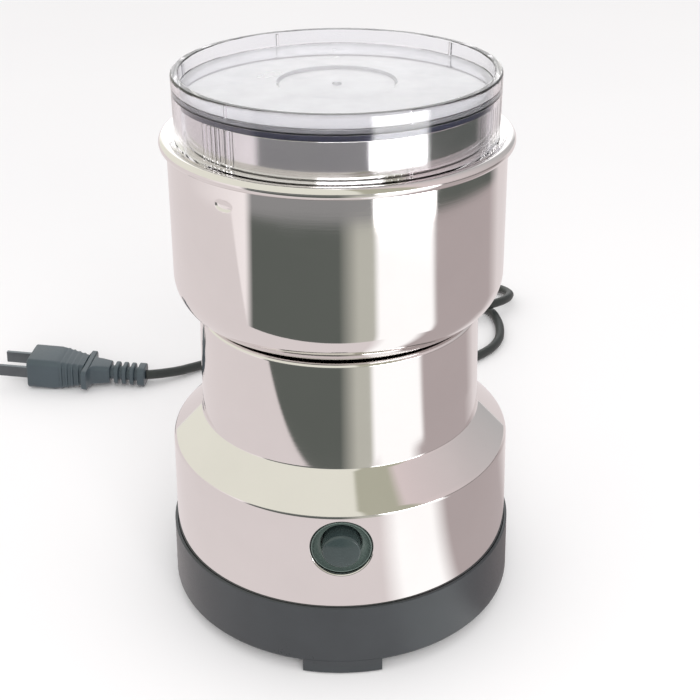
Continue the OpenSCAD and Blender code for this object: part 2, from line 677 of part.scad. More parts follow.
module brush_springs() {
    turns = 3;
    x0 = brush_back_x + 0.4;
    x1 = holder_x[1] - 1.4;
    points = [for (i = [0 : turns * 8]) let (a = 360 * i / 8)
        [x0 + (x1 - x0) * i / (turns * 8), 1.7 * cos(a), brush_z + 1.7 * sin(a)]];
    color("silver") for (s = [0, 180]) rotate([0, 0, s]) spring_tube(points, 0.25);
}

module blade_spacer() {
    color("silver") ring(6, stub_r, blade_z - spacer_t, blade_z);
}

// Two flat arms with their cutting tips bent up
module blade() {
    arm_w = 11;
    bend_x = blade_reach - 9;
    color([0.75, 0.75, 0.76]) difference() {
        union() {
            translate([0, 0, blade_z]) linear_extrude(blade_t) polygon([
                [bend_x, -2], [bend_x, arm_w / 2], [6, arm_w / 2 + 1], [-6, arm_w / 2 - 1],
                [-bend_x, 2], [-bend_x, -arm_w / 2], [-6, -arm_w / 2 - 1], [6, -arm_w / 2 + 1]]);
            for (s = [0, 180]) rotate([0, 0, s]) translate([bend_x - 0.4, 0, blade_z]) rotate([0, -22, 0])
                linear_extrude(blade_t) polygon([[0, -2], [9, 1], [9.4, 3], [8, arm_w / 2], [0, arm_w / 2]]);
        }
        translate([0, 0, blade_z - 1]) cylinder(r = stub_r, h = blade_t + 2);
    }
}

module blade_nut() {
    z0 = blade_z + blade_t;
    color("silver") difference() {
        union() {
            translate([0, 0, z0]) cylinder(r = 5.6, h = 3.4, $fn = 6);
            translate([0, 0, z0 + 1.6]) sphere(r = 4.2);
        }
        translate([0, 0, z0 - 4]) cylinder(r = stub_r, h = 8);
        translate([0, 0, z0 - 6]) cylinder(r = 8, h = 6);
    }
}

// --- cord entry ----------------------------------------------------------------------------

// Gland with its tapered, grooved strain relief
module cord_gland() {
    wall_out_y = base_foot_r;
    bore_r = gland_neck_r - fit_gap;
    cone_y = wall_out_y + 1.8;
    grooves = 4;
    pitch = (gland_tip_y - 3 - cone_y) / grooves;
    function cone_r(y) = 4.7 + (cord_r + 0.5 - 4.7) * (y - cone_y) / (gland_tip_y - cone_y);
    ribs = [for (k = [0 : grooves - 1]) let (y = cone_y + 1 + pitch * k)
        each [[cone_r(y), y + pitch * 0.3], [cone_r(y) - 1, y + pitch * 0.36],
              [cone_r(y) - 1, y + pitch * 0.64], [cone_r(y + pitch * 0.7), y + pitch * 0.7]]];
    profile = concat([[0, gland_in_y], [gland_flange_r, gland_in_y], [gland_flange_r, gland_wall_y]],
                     [[bore_r, gland_wall_y], [bore_r, wall_out_y], [7, wall_out_y]],
                     [[7, cone_y], [4.7, cone_y]],
                     ribs, [[cone_r(gland_tip_y), gland_tip_y], [0, gland_tip_y]]);
    color([0.13, 0.14, 0.14]) translate([0, 0, gland_z]) rotate([-90, 0, 0])
        rotate_extrude() polygon(profile);
}

module supply_lead() {
    color([0.2, 0.22, 0.22]) translate([0, anchor_y - 13, gland_z]) rotate([-90, 0, 0])
        cylinder(r = cord_r, h = gland_in_y - anchor_y + 13);
}

module cord_clamp() {
    color([0.3, 0.3, 0.3]) difference() {
        translate([-12, anchor_y - 3, clamp_z]) cube([24, 6, 3]);
        for (s = [-1, 1]) translate([8 * s, anchor_y, clamp_z - 1]) cylinder(r = 1.3, h = 5);
    }
}

module clamp_screws() {
    color("silver") for (s = [-1, 1]) translate([8 * s, anchor_y, clamp_z]) {
        translate([0, 0, 3]) cylinder(r = 2.6, h = 1.4);
        translate([0, 0, -7]) cylinder(r = 1.3, h = 10 + eps);
    }
}

// Insulated wires from the lead to the switch and the brush holders
module wires() {
    wire_r = 0.8;
    tab_y = switch_front_y + switch_size[1] + tab_l;
    low_z = low_bracket_z - 7;
    lead_y = anchor_y - 14;
    side_x = 30;
    hole = [12, -15];
    routes = [
        [[1, lead_y, gland_z], [3, lead_y - 7, gland_z + 1], [13, 12, gland_z + 7], [15, -3, low_z - 4],
         [hole[0], hole[1] + 1.5, low_z + 1], [hole[0], hole[1], low_bracket_z - 1],
         [hole[0], hole[1], low_bracket_z + 5], [hole[0] - 1.5, hole[1] - 1.5, button_z + 2],
         [6, tab_y + 3, button_z + 2], [5, tab_y, button_z]],
        [[-1, lead_y, gland_z], [-4, lead_y - 6, gland_z + 1], [-22, 18, gland_z + 8], [-side_x, 6, low_z],
         [-side_x - 0.5, 2, low_bracket_z + 4], [-side_x, 0, brush_z - 3], [-holder_x[1], 0, brush_z + 3]],
        [[-5, tab_y, button_z], [-6, tab_y + 3, button_z + 2], [-hole[0] + 1.5, hole[1] - 1.5, button_z + 2],
         [-hole[0], hole[1], low_bracket_z + 5], [-hole[0], hole[1], low_bracket_z - 1],
         [-hole[0] + 3, hole[1] - 1, low_z], [4, -18, low_z - 2], [20, -14, low_z - 2],
         [side_x, -6, low_z], [side_x + 0.5, -1.5, low_bracket_z + 5], [side_x, 0, brush_z - 3],
         [holder_x[1], 0, brush_z + 3]]];
    ends = [[[0, -1, 0], [0, -1, 0]], [[0, -1, 0], [1, 0, 0]], [[0, 1, 0], [-1, 0, 0]]];
    color([0.3, 0.35, 0.6]) for (k = [0 : 2])
        tube(curve(routes[k], 3), wire_r, 6, ends[k][0], ends[k][1]);
}

// --- free cord, coil and plug --------------------------------------------------------------

// The coil's centre line: it spirals in on the floor, climbs in the half turn where it turns back,
// and spirals out again on top
function smooth(t) = t <= 0 ? 0 : t >= 1 ? 1 : t * t * (3 - 2 * t);
function coil_point(u) =
    let (r = coil_r - coil_step * min(u, coil_loops - u), a = 90 + 360 * u,
         z = coil_floor_z + coil_step * smooth((u - coil_loops / 2) / 0.5 + 0.5))
    [coil_mid[0] + r * cos(a), coil_mid[1] + r * sin(a), z];
coil_rings = 24;
coil_points = concat([route_to_coil[len(route_to_coil) - 1]],
                     [for (i = [0 : coil_rings * coil_loops]) coil_point(i / coil_rings)],
                     [route_to_plug[0]]);
coil_gap = min([for (i = [0 : len(coil_points) - 1], j = [i + 10 : len(coil_points) - 1])
                if (j < len(coil_points)) norm(coil_points[i] - coil_points[j])]) - cord_d;
echo(coil_least_gap_mm = coil_gap);
echo(cord_length_mm = path_length(route_to_coil) + path_length(coil_points) + path_length(route_to_plug));

module cord_to_coil() {
    color([0.2, 0.23, 0.22]) tube(route_to_coil, cord_r, 8, [0, 1, 0], [-1, 0, 0]);
}
module cord_coil() {
    color([0.2, 0.23, 0.22]) tube(coil_points, cord_r, 6, [-1, 0, 0], [1, 0, 0]);
}
module cord_to_plug() {
    color([0.2, 0.23, 0.22]) tube(route_to_plug, cord_r, 8, [1, 0, 0],
                                  [cos(plug_yaw), sin(plug_yaw), sin(plug_tilt)]);
}

// Flat band round the turns at the coil's left side
module coil_tie() {
    gap = slide_gap;
    wide = coil_step + cord_d + 2 * gap;
    high = coil_top_z + cord_r + gap - tie_t + 0.1;
    mid_x = coil_mid[0] - (coil_r - coil_step * 0.75);
    color([0.1, 0.1, 0.1]) translate([mid_x, coil_mid[1] + 2, tie_t + high / 2 - 0.1]) rotate([90, 0, 0])
        linear_extrude(4) difference() {
            polygon(round_rect(wide + 2 * tie_t, high + 2 * tie_t - 0.2, 2));
            polygon(round_rect(wide, high - 0.2, 1.4));
        }
}

relief_l = 15.6;
plug_l = 36;
plug_end = route_to_plug[len(route_to_plug) - 1];
module at_plug() { translate(plug_end) rotate([0, 0, plug_yaw]) rotate([0, -plug_tilt, 0]) children(); }
module plug_slice(x, l, w, h, r) {
    translate([x, 0, 0]) rotate([90, 0, 90]) linear_extrude(l) polygon(round_rect(w, h, r));
}

module plug_relief() {
    color([0.19, 0.23, 0.24]) at_plug() {
        translate([0, 0, 0]) rotate([0, 90, 0]) cylinder(r = 3.1, h = relief_l);
        plug_slice(0, 3.2, 9.8, 9, 3);
        for (k = [0 : 2]) plug_slice(4.8 + 3.5 * k, 1.9, 9.4, 8.8, 3);
    }
}

module plug_body() {
    color([0.19, 0.23, 0.24]) at_plug() difference() {
        union() {
            hull() {
                plug_slice(relief_l, 1, 9, 8.4, 2);
                plug_slice(relief_l + 11, 1, 12.4, 9.8, 2.4);
            }
            hull() {
                plug_slice(relief_l + 10, 1, 13.4, 9.8, 2.4);
                plug_slice(relief_l + 24, plug_l - 24, 18, 14, 2.6);
            }
            plug_slice(relief_l + 8.6, 2.6, 22.6, 9.2, 2);
            for (k = [0 : 3]) plug_slice(relief_l + 13 + 2.4 * k, 1.1, 15.6 + 0.8 * k, 9.4, 2);
        }
        pins(relief_l + plug_l - 8);
    }
}

pin_size = [21.5, 1.5, 5];
module pins(x) {
    for (s = [-1, 1]) translate([x, s * plug_pins_apart / 2 - pin_size[1] / 2, -pin_size[2] / 2])
        cube(pin_size);
}
module plug_pins() {
    color([0.35, 0.37, 0.37]) at_plug() pins(relief_l + plug_l - 8);
}

lid();
lid_seal();
outer_bowl();
grinding_bowl();
body_shell();
base_cover();
foot_pads();
shell_lugs();
base_screws();
button_cap();
button_collar();
button_spring();
switch_body();
bowl_support();
bowl_screws();
motor_top_bracket();
motor_bottom_bracket();
motor_screws();
stator_core();
field_coils();
motor_shaft();
armature_core();
armature_winding();
commutator();
cooling_fan();
blade_spacer();
blade();
blade_nut();
upper_bearing();
lower_bearing();
shaft_seal();
brush_holders();
carbon_brushes();
brush_springs();
cord_gland();
supply_lead();
cord_clamp();
clamp_screws();
wires();
cord_to_coil();
cord_coil();
cord_to_plug();
coil_tie();
plug_relief();
plug_body();
plug_pins();
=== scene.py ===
"""Looks of the small blade mill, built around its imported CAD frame. All lengths in metres."""
import math
import bmesh
import bpy
from mathutils import Matrix, Vector


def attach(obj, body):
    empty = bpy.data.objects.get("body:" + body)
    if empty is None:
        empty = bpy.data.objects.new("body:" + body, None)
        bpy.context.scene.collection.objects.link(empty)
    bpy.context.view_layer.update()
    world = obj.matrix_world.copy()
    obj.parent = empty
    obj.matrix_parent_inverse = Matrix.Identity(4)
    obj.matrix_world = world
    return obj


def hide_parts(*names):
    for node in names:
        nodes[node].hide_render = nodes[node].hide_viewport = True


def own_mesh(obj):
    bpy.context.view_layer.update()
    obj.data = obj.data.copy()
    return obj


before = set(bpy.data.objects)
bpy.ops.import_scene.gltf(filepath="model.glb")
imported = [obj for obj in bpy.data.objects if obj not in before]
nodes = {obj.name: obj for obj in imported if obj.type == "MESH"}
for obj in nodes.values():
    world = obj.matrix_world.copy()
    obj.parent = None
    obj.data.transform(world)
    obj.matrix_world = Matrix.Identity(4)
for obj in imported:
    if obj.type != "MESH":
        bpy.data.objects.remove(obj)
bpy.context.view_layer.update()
scene = bpy.context.scene
scene.view_settings.view_transform = "Standard"
MM = 0.001

# --- camera ------------------------------------------------------------------------------------
# Standing in front of the button, 28 degrees above the horizon, with a slight lean of its own.
LENS_MM = 63.26
SENSOR_MM = 36.0
PITCH = math.radians(27.76)
ROLL = math.radians(-0.57)
YAW = math.radians(0.489)
CAMERA_AT = Vector((0.0, -0.3528, 0.2708))


def make_camera():
    data = bpy.data.cameras.new("camera")
    data.lens = LENS_MM
    data.sensor_width = SENSOR_MM
    data.clip_start = 0.01
    camera = bpy.data.objects.new("camera", data)
    scene.collection.objects.link(camera)
    ahead = Vector((0, math.cos(PITCH), -math.sin(PITCH)))
    side = Vector((1, 0, 0))
    up = side.cross(ahead)
    right = side * math.cos(ROLL) + up * math.sin(ROLL)
    top = up * math.cos(ROLL) - side * math.sin(ROLL)
    look = ahead * math.cos(YAW) + right * math.sin(YAW)
    right = right * math.cos(YAW) - ahead * math.sin(YAW)
    turn = Matrix((right, top, -look)).transposed()
    camera.matrix_world = Matrix.Translation(CAMERA_AT) @ turn.to_4x4()
    scene.camera = camera


make_camera()

# --- material helpers --------------------------------------------------------------------------


class Nodes:
    """Short ways to add nodes to the tree of one material, or of the world."""

    def __init__(self, name, world=None):
        if world is None:
            self.material = bpy.data.materials.new(name)
        owner = world or self.material
        owner.use_nodes = True
        self.tree = owner.node_tree
        self.shader = self.tree.nodes["Background" if world else "Principled BSDF"]
        coordinates = self.tree.nodes.new("ShaderNodeTexCoord")
        self.place = coordinates.outputs["Generated" if world else "Object"]

    def add(self, kind, **settings):
        node = self.tree.nodes.new(kind)
        for key, value in settings.items():
            setattr(node, key, value)
        return node

    def link(self, a, b):
        self.tree.links.new(a, b)

    def set(self, **values):
        for key, value in values.items():
            socket = self.shader.inputs[key.replace("_", " ")]
            if isinstance(value, bpy.types.NodeSocket):
                self.link(value, socket)
            else:
                socket.default_value = value

    def scaled(self, scale):
        mapping = self.add("ShaderNodeMapping")
        mapping.inputs["Scale"].default_value = scale
        self.link(self.place, mapping.inputs["Vector"])
        return mapping.outputs["Vector"]

    def noise(self, size, detail=3.0, rough=0.5, stretch=(1, 1, 1)):
        """Noise whose features are about size metres wide, made longer along an axis by stretch."""
        texture = self.add("ShaderNodeTexNoise")
        texture.inputs["Scale"].default_value = 1.0
        texture.inputs["Detail"].default_value = detail
        texture.inputs["Roughness"].default_value = rough
        scale = [1 / (size * s) for s in stretch]
        self.link(self.scaled(scale), texture.inputs["Vector"])
        return texture.outputs["Fac"]

    def ramp(self, fac, stops):
        node = self.add("ShaderNodeValToRGB")
        band = node.color_ramp
        while len(band.elements) < len(stops):
            band.elements.new(1.0)
        for element, (at, colour) in zip(band.elements, stops):
            element.position = at
            colour = colour if isinstance(colour, tuple) else (colour,) * 3
            element.color = (*colour, 1)
        self.link(fac, node.inputs["Fac"])
        return node.outputs["Color"]

    def between(self, fac, low, high, out_low, out_high):
        node = self.add("ShaderNodeMapRange")
        for key, value in (("From Min", low), ("From Max", high), ("To Min", out_low), ("To Max", out_high)):
            node.inputs[key].default_value = value
        self.link(fac, node.inputs["Value"])
        return node.outputs["Result"]

    def math(self, operation, a, b=None):
        node = self.add("ShaderNodeMath", operation=operation)
        for socket, value in zip(node.inputs, (a, b)):
            if isinstance(value, bpy.types.NodeSocket):
                self.link(value, socket)
            elif value is not None:
                socket.default_value = value
        return node.outputs[0]

    def split(self):
        """x, y and z of the place."""
        parts = self.add("ShaderNodeSeparateXYZ")
        self.link(self.place, parts.inputs[0])
        return parts.outputs[0], parts.outputs[1], parts.outputs[2]

    def across(self, x, y):
        """Distance from the Z axis."""
        return self.math("SQRT", self.math("ADD", self.math("MULTIPLY", x, x), self.math("MULTIPLY", y, y)))

    def mix(self, fac, a, b):
        node = self.add("ShaderNodeMix", data_type="RGBA")
        for key, value in (("Factor", fac), ("A", a), ("B", b)):
            self.link(value, node.inputs[key])
        return node.outputs["Result"]

    def bump(self, height, strength, depth, under=None):
        node = self.add("ShaderNodeBump")
        node.inputs["Strength"].default_value = strength
        node.inputs["Distance"].default_value = depth
        self.link(height, node.inputs["Height"])
        if under is not None:
            self.link(under, node.inputs["Normal"])
        return node.outputs["Normal"]


def polished_steel(name, colour, low, high, line_strength, line_size=0.00025):
    """Pressed and buffed sheet: buffing lines run round it, smudges change how sharply it mirrors."""
    n = Nodes(name)
    smudge = n.noise(0.03, 4, 0.6)
    lines = n.noise(line_size, 2, 0.5, stretch=(90, 90, 1))
    waves = n.noise(0.02, 1, 0.4, stretch=(1.6, 1.6, 1))
    tone = n.ramp(smudge, [(0.35, tuple(0.965 * c for c in colour)), (0.7, colour)])
    rough = n.math("ADD", n.between(smudge, 0.3, 0.75, low, high), n.between(lines, 0.3, 0.7, -0.01, 0.015))
    normal = n.bump(waves, 0.2, 0.00004)
    normal = n.bump(lines, line_strength, 0.00002, normal)
    n.set(Base_Color=tone, Metallic=1.0, Roughness=rough, Normal=normal)
    return n.material


def moulded(name, colour, rough, grain=0.0006, grain_depth=0.00004, strength=0.25, drift=0.12, specular=0.5):
    """Moulded plastic or rubber: a fine grain, slight changes of colour, and worn, shinier patches."""
    n = Nodes(name)
    cloud = n.noise(0.022, 3, 0.55)
    fine = n.noise(grain, 2, 0.6)
    light = tuple(min(1, c * (1 + drift)) for c in colour)
    dark = tuple(c * (1 - drift) for c in colour)
    n.set(Base_Color=n.ramp(cloud, [(0.3, dark), (0.7, light)]),
          Roughness=n.math("ADD", n.between(cloud, 0.3, 0.7, rough - 0.05, rough + 0.05),
                           n.between(fine, 0.3, 0.7, -0.04, 0.04)),
          Normal=n.bump(fine, strength, grain_depth))
    n.shader.inputs["Specular IOR Level"].default_value = specular
    return n.material


def machined(name, colour, rough, grain=0.0004, metal=1.0, stretch=(1, 1, 1)):
    """Bare metal with tool marks and a dull mottle."""
    n = Nodes(name)
    mottle = n.noise(0.006, 4, 0.6)
    marks = n.noise(grain, 2, 0.5, stretch=stretch)
    dark = tuple(c * 0.8 for c in colour)
    n.set(Base_Color=n.ramp(mottle, [(0.3, dark), (0.65, colour)]), Metallic=metal,
          Roughness=n.between(mottle, 0.3, 0.7, rough - 0.07, rough + 0.07),
          Normal=n.bump(marks, 0.3, 0.00003))
    return n.material


PLATE_LOW, PLATE_HIGH, PLATE_R = 0.1717, 0.1736, 0.0459


def clear_plastic(name):
    """Clear moulded plastic with a faint lilac tint, soft flow marks and fine scratches. Its recessed
    plate is hazed to a milky white: painted glare, standing in for the bright glare on it."""
    n = Nodes(name)
    x, y, z = n.split()
    low = n.between(z, PLATE_LOW, PLATE_LOW + 0.0001, 0, 1)
    high = n.between(z, PLATE_HIGH, PLATE_HIGH + 0.0001, 1, 0)
    inside = n.between(n.across(x, y), PLATE_R - 0.0004, PLATE_R, 1, 0)
    # painted glare: the plate's transmission is cut, so it shows milky white
    painted_glare = n.math("MULTIPLY", n.math("MULTIPLY", low, high), inside)
    painted_glare = n.math("MULTIPLY", painted_glare, n.between(n.noise(0.02, 3, 0.6), 0.3, 0.7, 0.34, 0.44))
    flow = n.noise(0.03, 2, 0.5)
    scratch = n.noise(0.0009, 3, 0.6, stretch=(6, 1, 1))
    tint = n.ramp(flow, [(0.3, (0.925, 0.92, 0.955)), (0.7, (0.955, 0.95, 0.975))])
    n.set(Base_Color=tint, Transmission_Weight=n.math("SUBTRACT", 1.0, painted_glare), IOR=1.49,
          Roughness=n.between(scratch, 0.35, 0.75, 0.015, 0.06),
          Normal=n.bump(flow, 0.15, 0.0003))
    return n.material


def wound_wire(name, colour):
    """Enamelled wire laid side by side: fine ridges, with painted shade darkening the gaps between them."""
    n = Nodes(name)
    wave = n.add("ShaderNodeTexWave", wave_type="BANDS", bands_direction="DIAGONAL")
    wave.inputs["Scale"].default_value = 260
    wave.inputs["Distortion"].default_value = 2.0
    n.link(n.place, wave.inputs["Vector"])
    ridge = wave.outputs["Fac"]
    # painted shade: the low parts between the turns are darkened
    dark = tuple(c * 0.35 for c in colour)
    n.set(Base_Color=n.ramp(ridge, [(0.1, dark), (0.6, colour)]), Metallic=0.85,
          Roughness=n.between(ridge, 0, 1, 0.5, 0.28), Normal=n.bump(ridge, 0.6, 0.0002))
    return n.material


STEEL = (0.83, 0.80, 0.79)
looks = {
    "polished_steel": polished_steel("look_polished_steel", STEEL, 0.035, 0.085, 0.06),
    "bowl_steel": polished_steel("look_bowl_steel", (0.80, 0.78, 0.765), 0.07, 0.14, 0.16),
    "clear_plastic": clear_plastic("look_clear_plastic"),
    "dark_seal": moulded("look_dark_seal", (0.022, 0.024, 0.060), 0.45, grain=0.0008),
    "base_plastic": moulded("look_base_plastic", (0.035, 0.040, 0.044), 0.34, grain=0.0005, strength=0.35),
    "pad_rubber": moulded("look_pad_rubber", (0.02, 0.02, 0.021), 0.75, grain=0.0009, strength=0.5),
    "button_plastic": moulded("look_button_plastic", (0.036, 0.052, 0.052), 0.14, grain=0.0007, strength=0.08),
    "collar_plastic": moulded("look_collar_plastic", (0.105, 0.140, 0.126), 0.22, grain=0.0007, strength=0.1),
    "inner_plastic": moulded("look_inner_plastic", (0.06, 0.065, 0.07), 0.5),
    "fan_plastic": moulded("look_fan_plastic", (0.62, 0.6, 0.54), 0.45),
    "zinc_steel": machined("look_zinc_steel", (0.66, 0.66, 0.63), 0.34),
    "core_steel": machined("look_core_steel", (0.36, 0.36, 0.37), 0.5, grain=0.0006, stretch=(40, 40, 1)),
    "copper_wire": wound_wire("look_copper_wire", (0.72, 0.34, 0.16)),
    "bronze": machined("look_bronze", (0.60, 0.42, 0.22), 0.42),
    "carbon": machined("look_carbon", (0.06, 0.06, 0.065), 0.6, metal=0.0),
    "wire_cover": moulded("look_wire_cover", (0.10, 0.13, 0.32), 0.4),
    "cord_plastic": moulded("look_cord_plastic", (0.022, 0.027, 0.026), 0.5, grain=0.0009, strength=0.3),
    "plug_plastic": moulded("look_plug_plastic", (0.054, 0.074, 0.086), 0.42, grain=0.0007, strength=0.3),
    "plated_brass": machined("look_plated_brass", (0.15, 0.17, 0.18), 0.35),
}


def finish_piece(obj, body, slot, *replaced):
    """One new piece: its material, its body, its slot, and the CAD nodes that it stands for."""
    obj.data.materials.clear()
    obj.data.materials.append(looks[slot])
    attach(obj, body)
    if replaced:
        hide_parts(*replaced)
    return obj


# --- cord --------------------------------------------------------------------------------------
CORD_R = 2.1
TO_COIL = [
    (0, 84, 15), (0, 91, 15), (2, 101, 14.2), (6, 113, 12.8), (12, 126, 10.8), (20, 139, 8.6),
    (29, 151, 7.2), (37, 161, 5.4), (44, 171, 3.8), (51, 180.5, 3.4), (58.8, 187.4, 4.8),
    (67.3, 191.6, 6.6), (75.6, 195.2, 7.2), (82, 200.1, 7), (85.7, 207.2, 6), (86, 215.2, 4.1),
    (83, 222.6, 2.7), (77.1, 228, 2.1), (69.2, 230.9, 2.1), (58, 232.8, 2.1), (46, 234, 2.1),
    (33, 234.7, 2.1), (20, 235, 2.4), (8.2, 235, 2.7)]
TO_PLUG = [
    (8.2, 183, 7.5), (17.5, 183.9, 7.1), (28.4, 189, 5.2), (38.7, 196.8, 3.2), (48.2, 203.9, 2.2),
    (55.7, 207.1, 2.1), (63.6, 206.9, 2.1), (70.7, 203.2, 2.1), (75.5, 196.9, 2.1), (77.4, 188.6, 2.1),
    (77.6, 177, 2.1), (74.6, 164.2, 2.1), (67, 153.3, 2.1), (56.6, 146, 2.1), (44, 143, 2.1),
    (30, 144, 2.1), (15, 148, 2.1), (0, 152, 2.1), (-15, 154.6, 2.1), (-30, 154.8, 2.1),
    (-43, 152.6, 2.1), (-54, 149.2, 2.1), (-63.5, 143.8, 2.3), (-68.2, 140.2, 2.8), (-72.6, 136.9, 3.3),
    (-77.5, 134.1, 3.9), (-82.3, 132, 4.4), (-86.8, 131, 4.6)]
COIL_MID = (4, 209)
COIL_R = 26
COIL_STEP = 4.8
COIL_LOOPS = 3.5
COIL_FLOOR = 2.7
COIL_RINGS = 24
PLUG_YAW, PLUG_TILT = math.radians(175), math.radians(3.4)


def ease(t):
    t = min(1, max(0, t))
    return t * t * (3 - 2 * t)


def coil_point(u):
    """The coil's centre line after u turns: in along the floor, up half way, and out again."""
    r = COIL_R - COIL_STEP * min(u, COIL_LOOPS - u)
    a = math.radians(90 + 360 * u)
    z = COIL_FLOOR + COIL_STEP * ease((u - COIL_LOOPS / 2) / 0.5 + 0.5)
    return COIL_MID[0] + r * math.cos(a), COIL_MID[1] + r * math.sin(a), z


def make_cord():
    rings = int(COIL_RINGS * COIL_LOOPS)
    points = TO_COIL + [coil_point(i / COIL_RINGS) for i in range(rings + 1)] + TO_PLUG
    curve = bpy.data.curves.new("cord", "CURVE")
    curve.dimensions = "3D"
    curve.resolution_u = 8
    curve.bevel_depth = CORD_R * MM
    curve.bevel_resolution = 8
    curve.use_fill_caps = True
    spline = curve.splines.new("BEZIER")
    spline.bezier_points.add(len(points) - 1)
    for knot, p in zip(spline.bezier_points, points):
        knot.co = Vector(p) * MM
        knot.handle_left_type = knot.handle_right_type = "AUTO"
    obj = bpy.data.objects.new("cord", curve)
    scene.collection.objects.link(obj)
    finish_piece(obj, "housing", "cord_plastic", "cord_to_coil", "cord_coil", "cord_to_plug")
    return obj


cord = make_cord()

# --- turned pieces -----------------------------------------------------------------------------
ROUND_STEPS = 256
ARC_STEP_DEG = 2.5


def line(a, b):
    """One straight step of a profile, with the normals of its two ends."""
    dx, dz = b[0] - a[0], b[1] - a[1]
    size = math.hypot(dx, dz)
    n = (dz / size, -dx / size)
    return [(a, b, n, n)]


def arc(c, r, a0, a1, steps=10):
    """Steps of an arc about c from angle a0 to a1. Turning left faces out, turning right faces in."""
    sign = 1 if a1 > a0 else -1
    out = []
    for i in range(steps):
        t0 = math.radians(a0 + (a1 - a0) * i / steps)
        t1 = math.radians(a0 + (a1 - a0) * (i + 1) / steps)
        p0 = (c[0] + r * math.cos(t0), c[1] + r * math.sin(t0))
        p1 = (c[0] + r * math.cos(t1), c[1] + r * math.sin(t1))
        out.append((p0, p1, (sign * math.cos(t0), sign * math.sin(t0)),
                    (sign * math.cos(t1), sign * math.sin(t1))))
    return out


def path(points):
    """Steps along points of (r, z, corner radius): straight lines joined by rounded corners."""
    out = []
    last = points[0][:2]
    for i in range(1, len(points)):
        here = points[i]
        if i == len(points) - 1 or here[2] == 0:
            out += line(last, here[:2])
            last = here[:2]
            continue
        p = Vector(here[:2])
        to_a = (Vector(points[i - 1][:2]) - p).normalized()
        to_b = (Vector(points[i + 1][:2]) - p).normalized()
        half = math.acos(max(-1, min(1, to_a.dot(to_b)))) / 2
        run = here[2] / math.tan(half)
        centre = p + (to_a + to_b).normalized() * here[2] / math.sin(half)
        a, b = p + to_a * run, p + to_b * run
        t0 = math.degrees(math.atan2(a.y - centre.y, a.x - centre.x))
        t1 = math.degrees(math.atan2(b.y - centre.y, b.x - centre.x))
        while t1 - t0 > 180:
            t1 -= 360
        while t1 - t0 < -180:
            t1 += 360
        if (Vector(last) - a).length > 1e-6:
            out += line(last, tuple(a))
        out += arc(tuple(centre), here[2], t0, t1, max(4, int(abs(t1 - t0) / ARC_STEP_DEG)))
        last = tuple(b)
    return out


def inset(steps, t):
    """The same steps moved t to their left and run backwards: the inner face of a sheet."""
    out = []
    for a, b, na, nb in reversed(steps):
        p = (b[0] - nb[0] * t, b[1] - nb[1] * t)
        q = (a[0] - na[0] * t, a[1] - na[1] * t)
        out.append((p, q, (-nb[0], -nb[1]), (-na[0], -na[1])))
    return out


def split(steps, low, high, pitch):
    """Cuts the steps between heights low and high into pieces no longer than pitch."""
    out = []
    for a, b, na, nb in steps:
        if min(a[1], b[1]) > high or max(a[1], b[1]) < low:
            out.append((a, b, na, nb))
            continue
        count = max(1, math.ceil(math.dist(a, b) / pitch))
        mix = lambda p, q, t: (p[0] + (q[0] - p[0]) * t, p[1] + (q[1] - p[1]) * t)
        for k in range(count):
            out.append((mix(a, b, k / count), mix(a, b, (k + 1) / count),
                        mix(na, nb, k / count), mix(na, nb, (k + 1) / count)))
    return out


def turned(name, chains, angles=None, place=None, warp=None):
    """A solid of revolution about +Z, in mm, with exact normals. chains are runs of joined steps that
    together close the profile; warp moves a point, and its normals follow."""
    angles = angles or [360 * i / ROUND_STEPS for i in range(ROUND_STEPS)]
    place = place or Matrix.Identity(4)
    turn = place.to_3x3()
    count = len(angles)
    spots, rings, faces, normals = [], {}, [], []

    def ring(p):
        key = (round(p[0], 4), round(p[1], 4))
        if key not in rings:
            rings[key] = len(spots)
            if p[0] < 1e-5:
                spots.append(Vector((0, 0, p[1])))
            else:
                for a in angles:
                    t = math.radians(a)
                    spots.append(Vector((p[0] * math.cos(t), p[0] * math.sin(t), p[1])))
        return rings[key], p[0] < 1e-5

    def facing(n, a):
        t = math.radians(a)
        return Vector((n[0] * math.cos(t), n[0] * math.sin(t), n[1])).normalized()

    for a, b, na, nb in [step for chain in chains for step in chain]:
        if math.dist(a, b) < 1e-5:
            continue
        (ia, pole_a), (ib, pole_b) = ring(a), ring(b)
        for k in range(count):
            m = (k + 1) % count
            n0, n1 = angles[k], angles[m] if m else angles[0] + 360
            corners = [(ia if pole_a else ia + k, na, n0), (ia if pole_a else ia + m, na, n1),
                       (ib if pole_b else ib + m, nb, n1), (ib if pole_b else ib + k, nb, n0)]
            if pole_a:
                corners = [corners[0], corners[2], corners[3]]
            elif pole_b:
                corners = corners[:3]
            faces.append([c[0] for c in corners])
            normals += [(c[0], facing(c[1], c[2])) for c in corners]
    if warp:
        normals = [warped_normal(warp, spots[i], n) for i, n in normals]
        spots = [warp(p) for p in spots]
    else:
        normals = [n for _, n in normals]
    mesh = bpy.data.meshes.new(name)
    mesh.from_pydata([place @ (p * MM) for p in spots], [], faces)
    mesh.polygons.foreach_set("use_smooth", [True] * len(faces))
    mesh.validate()
    mesh.normals_split_custom_set([(turn @ n).normalized() for n in normals])
    obj = bpy.data.objects.new(name, mesh)
    scene.collection.objects.link(obj)
    return obj


def warped_normal(warp, p, n):
    """The normal at p after the warp, from how it moves four neighbours."""
    side = n.orthogonal().normalized()
    up = n.cross(side)
    h = 0.05
    a = warp(p + side * h) - warp(p - side * h)
    b = warp(p + up * h) - warp(p - up * h)
    m = a.cross(b)
    return m.normalized() if m.length > 1e-9 else n


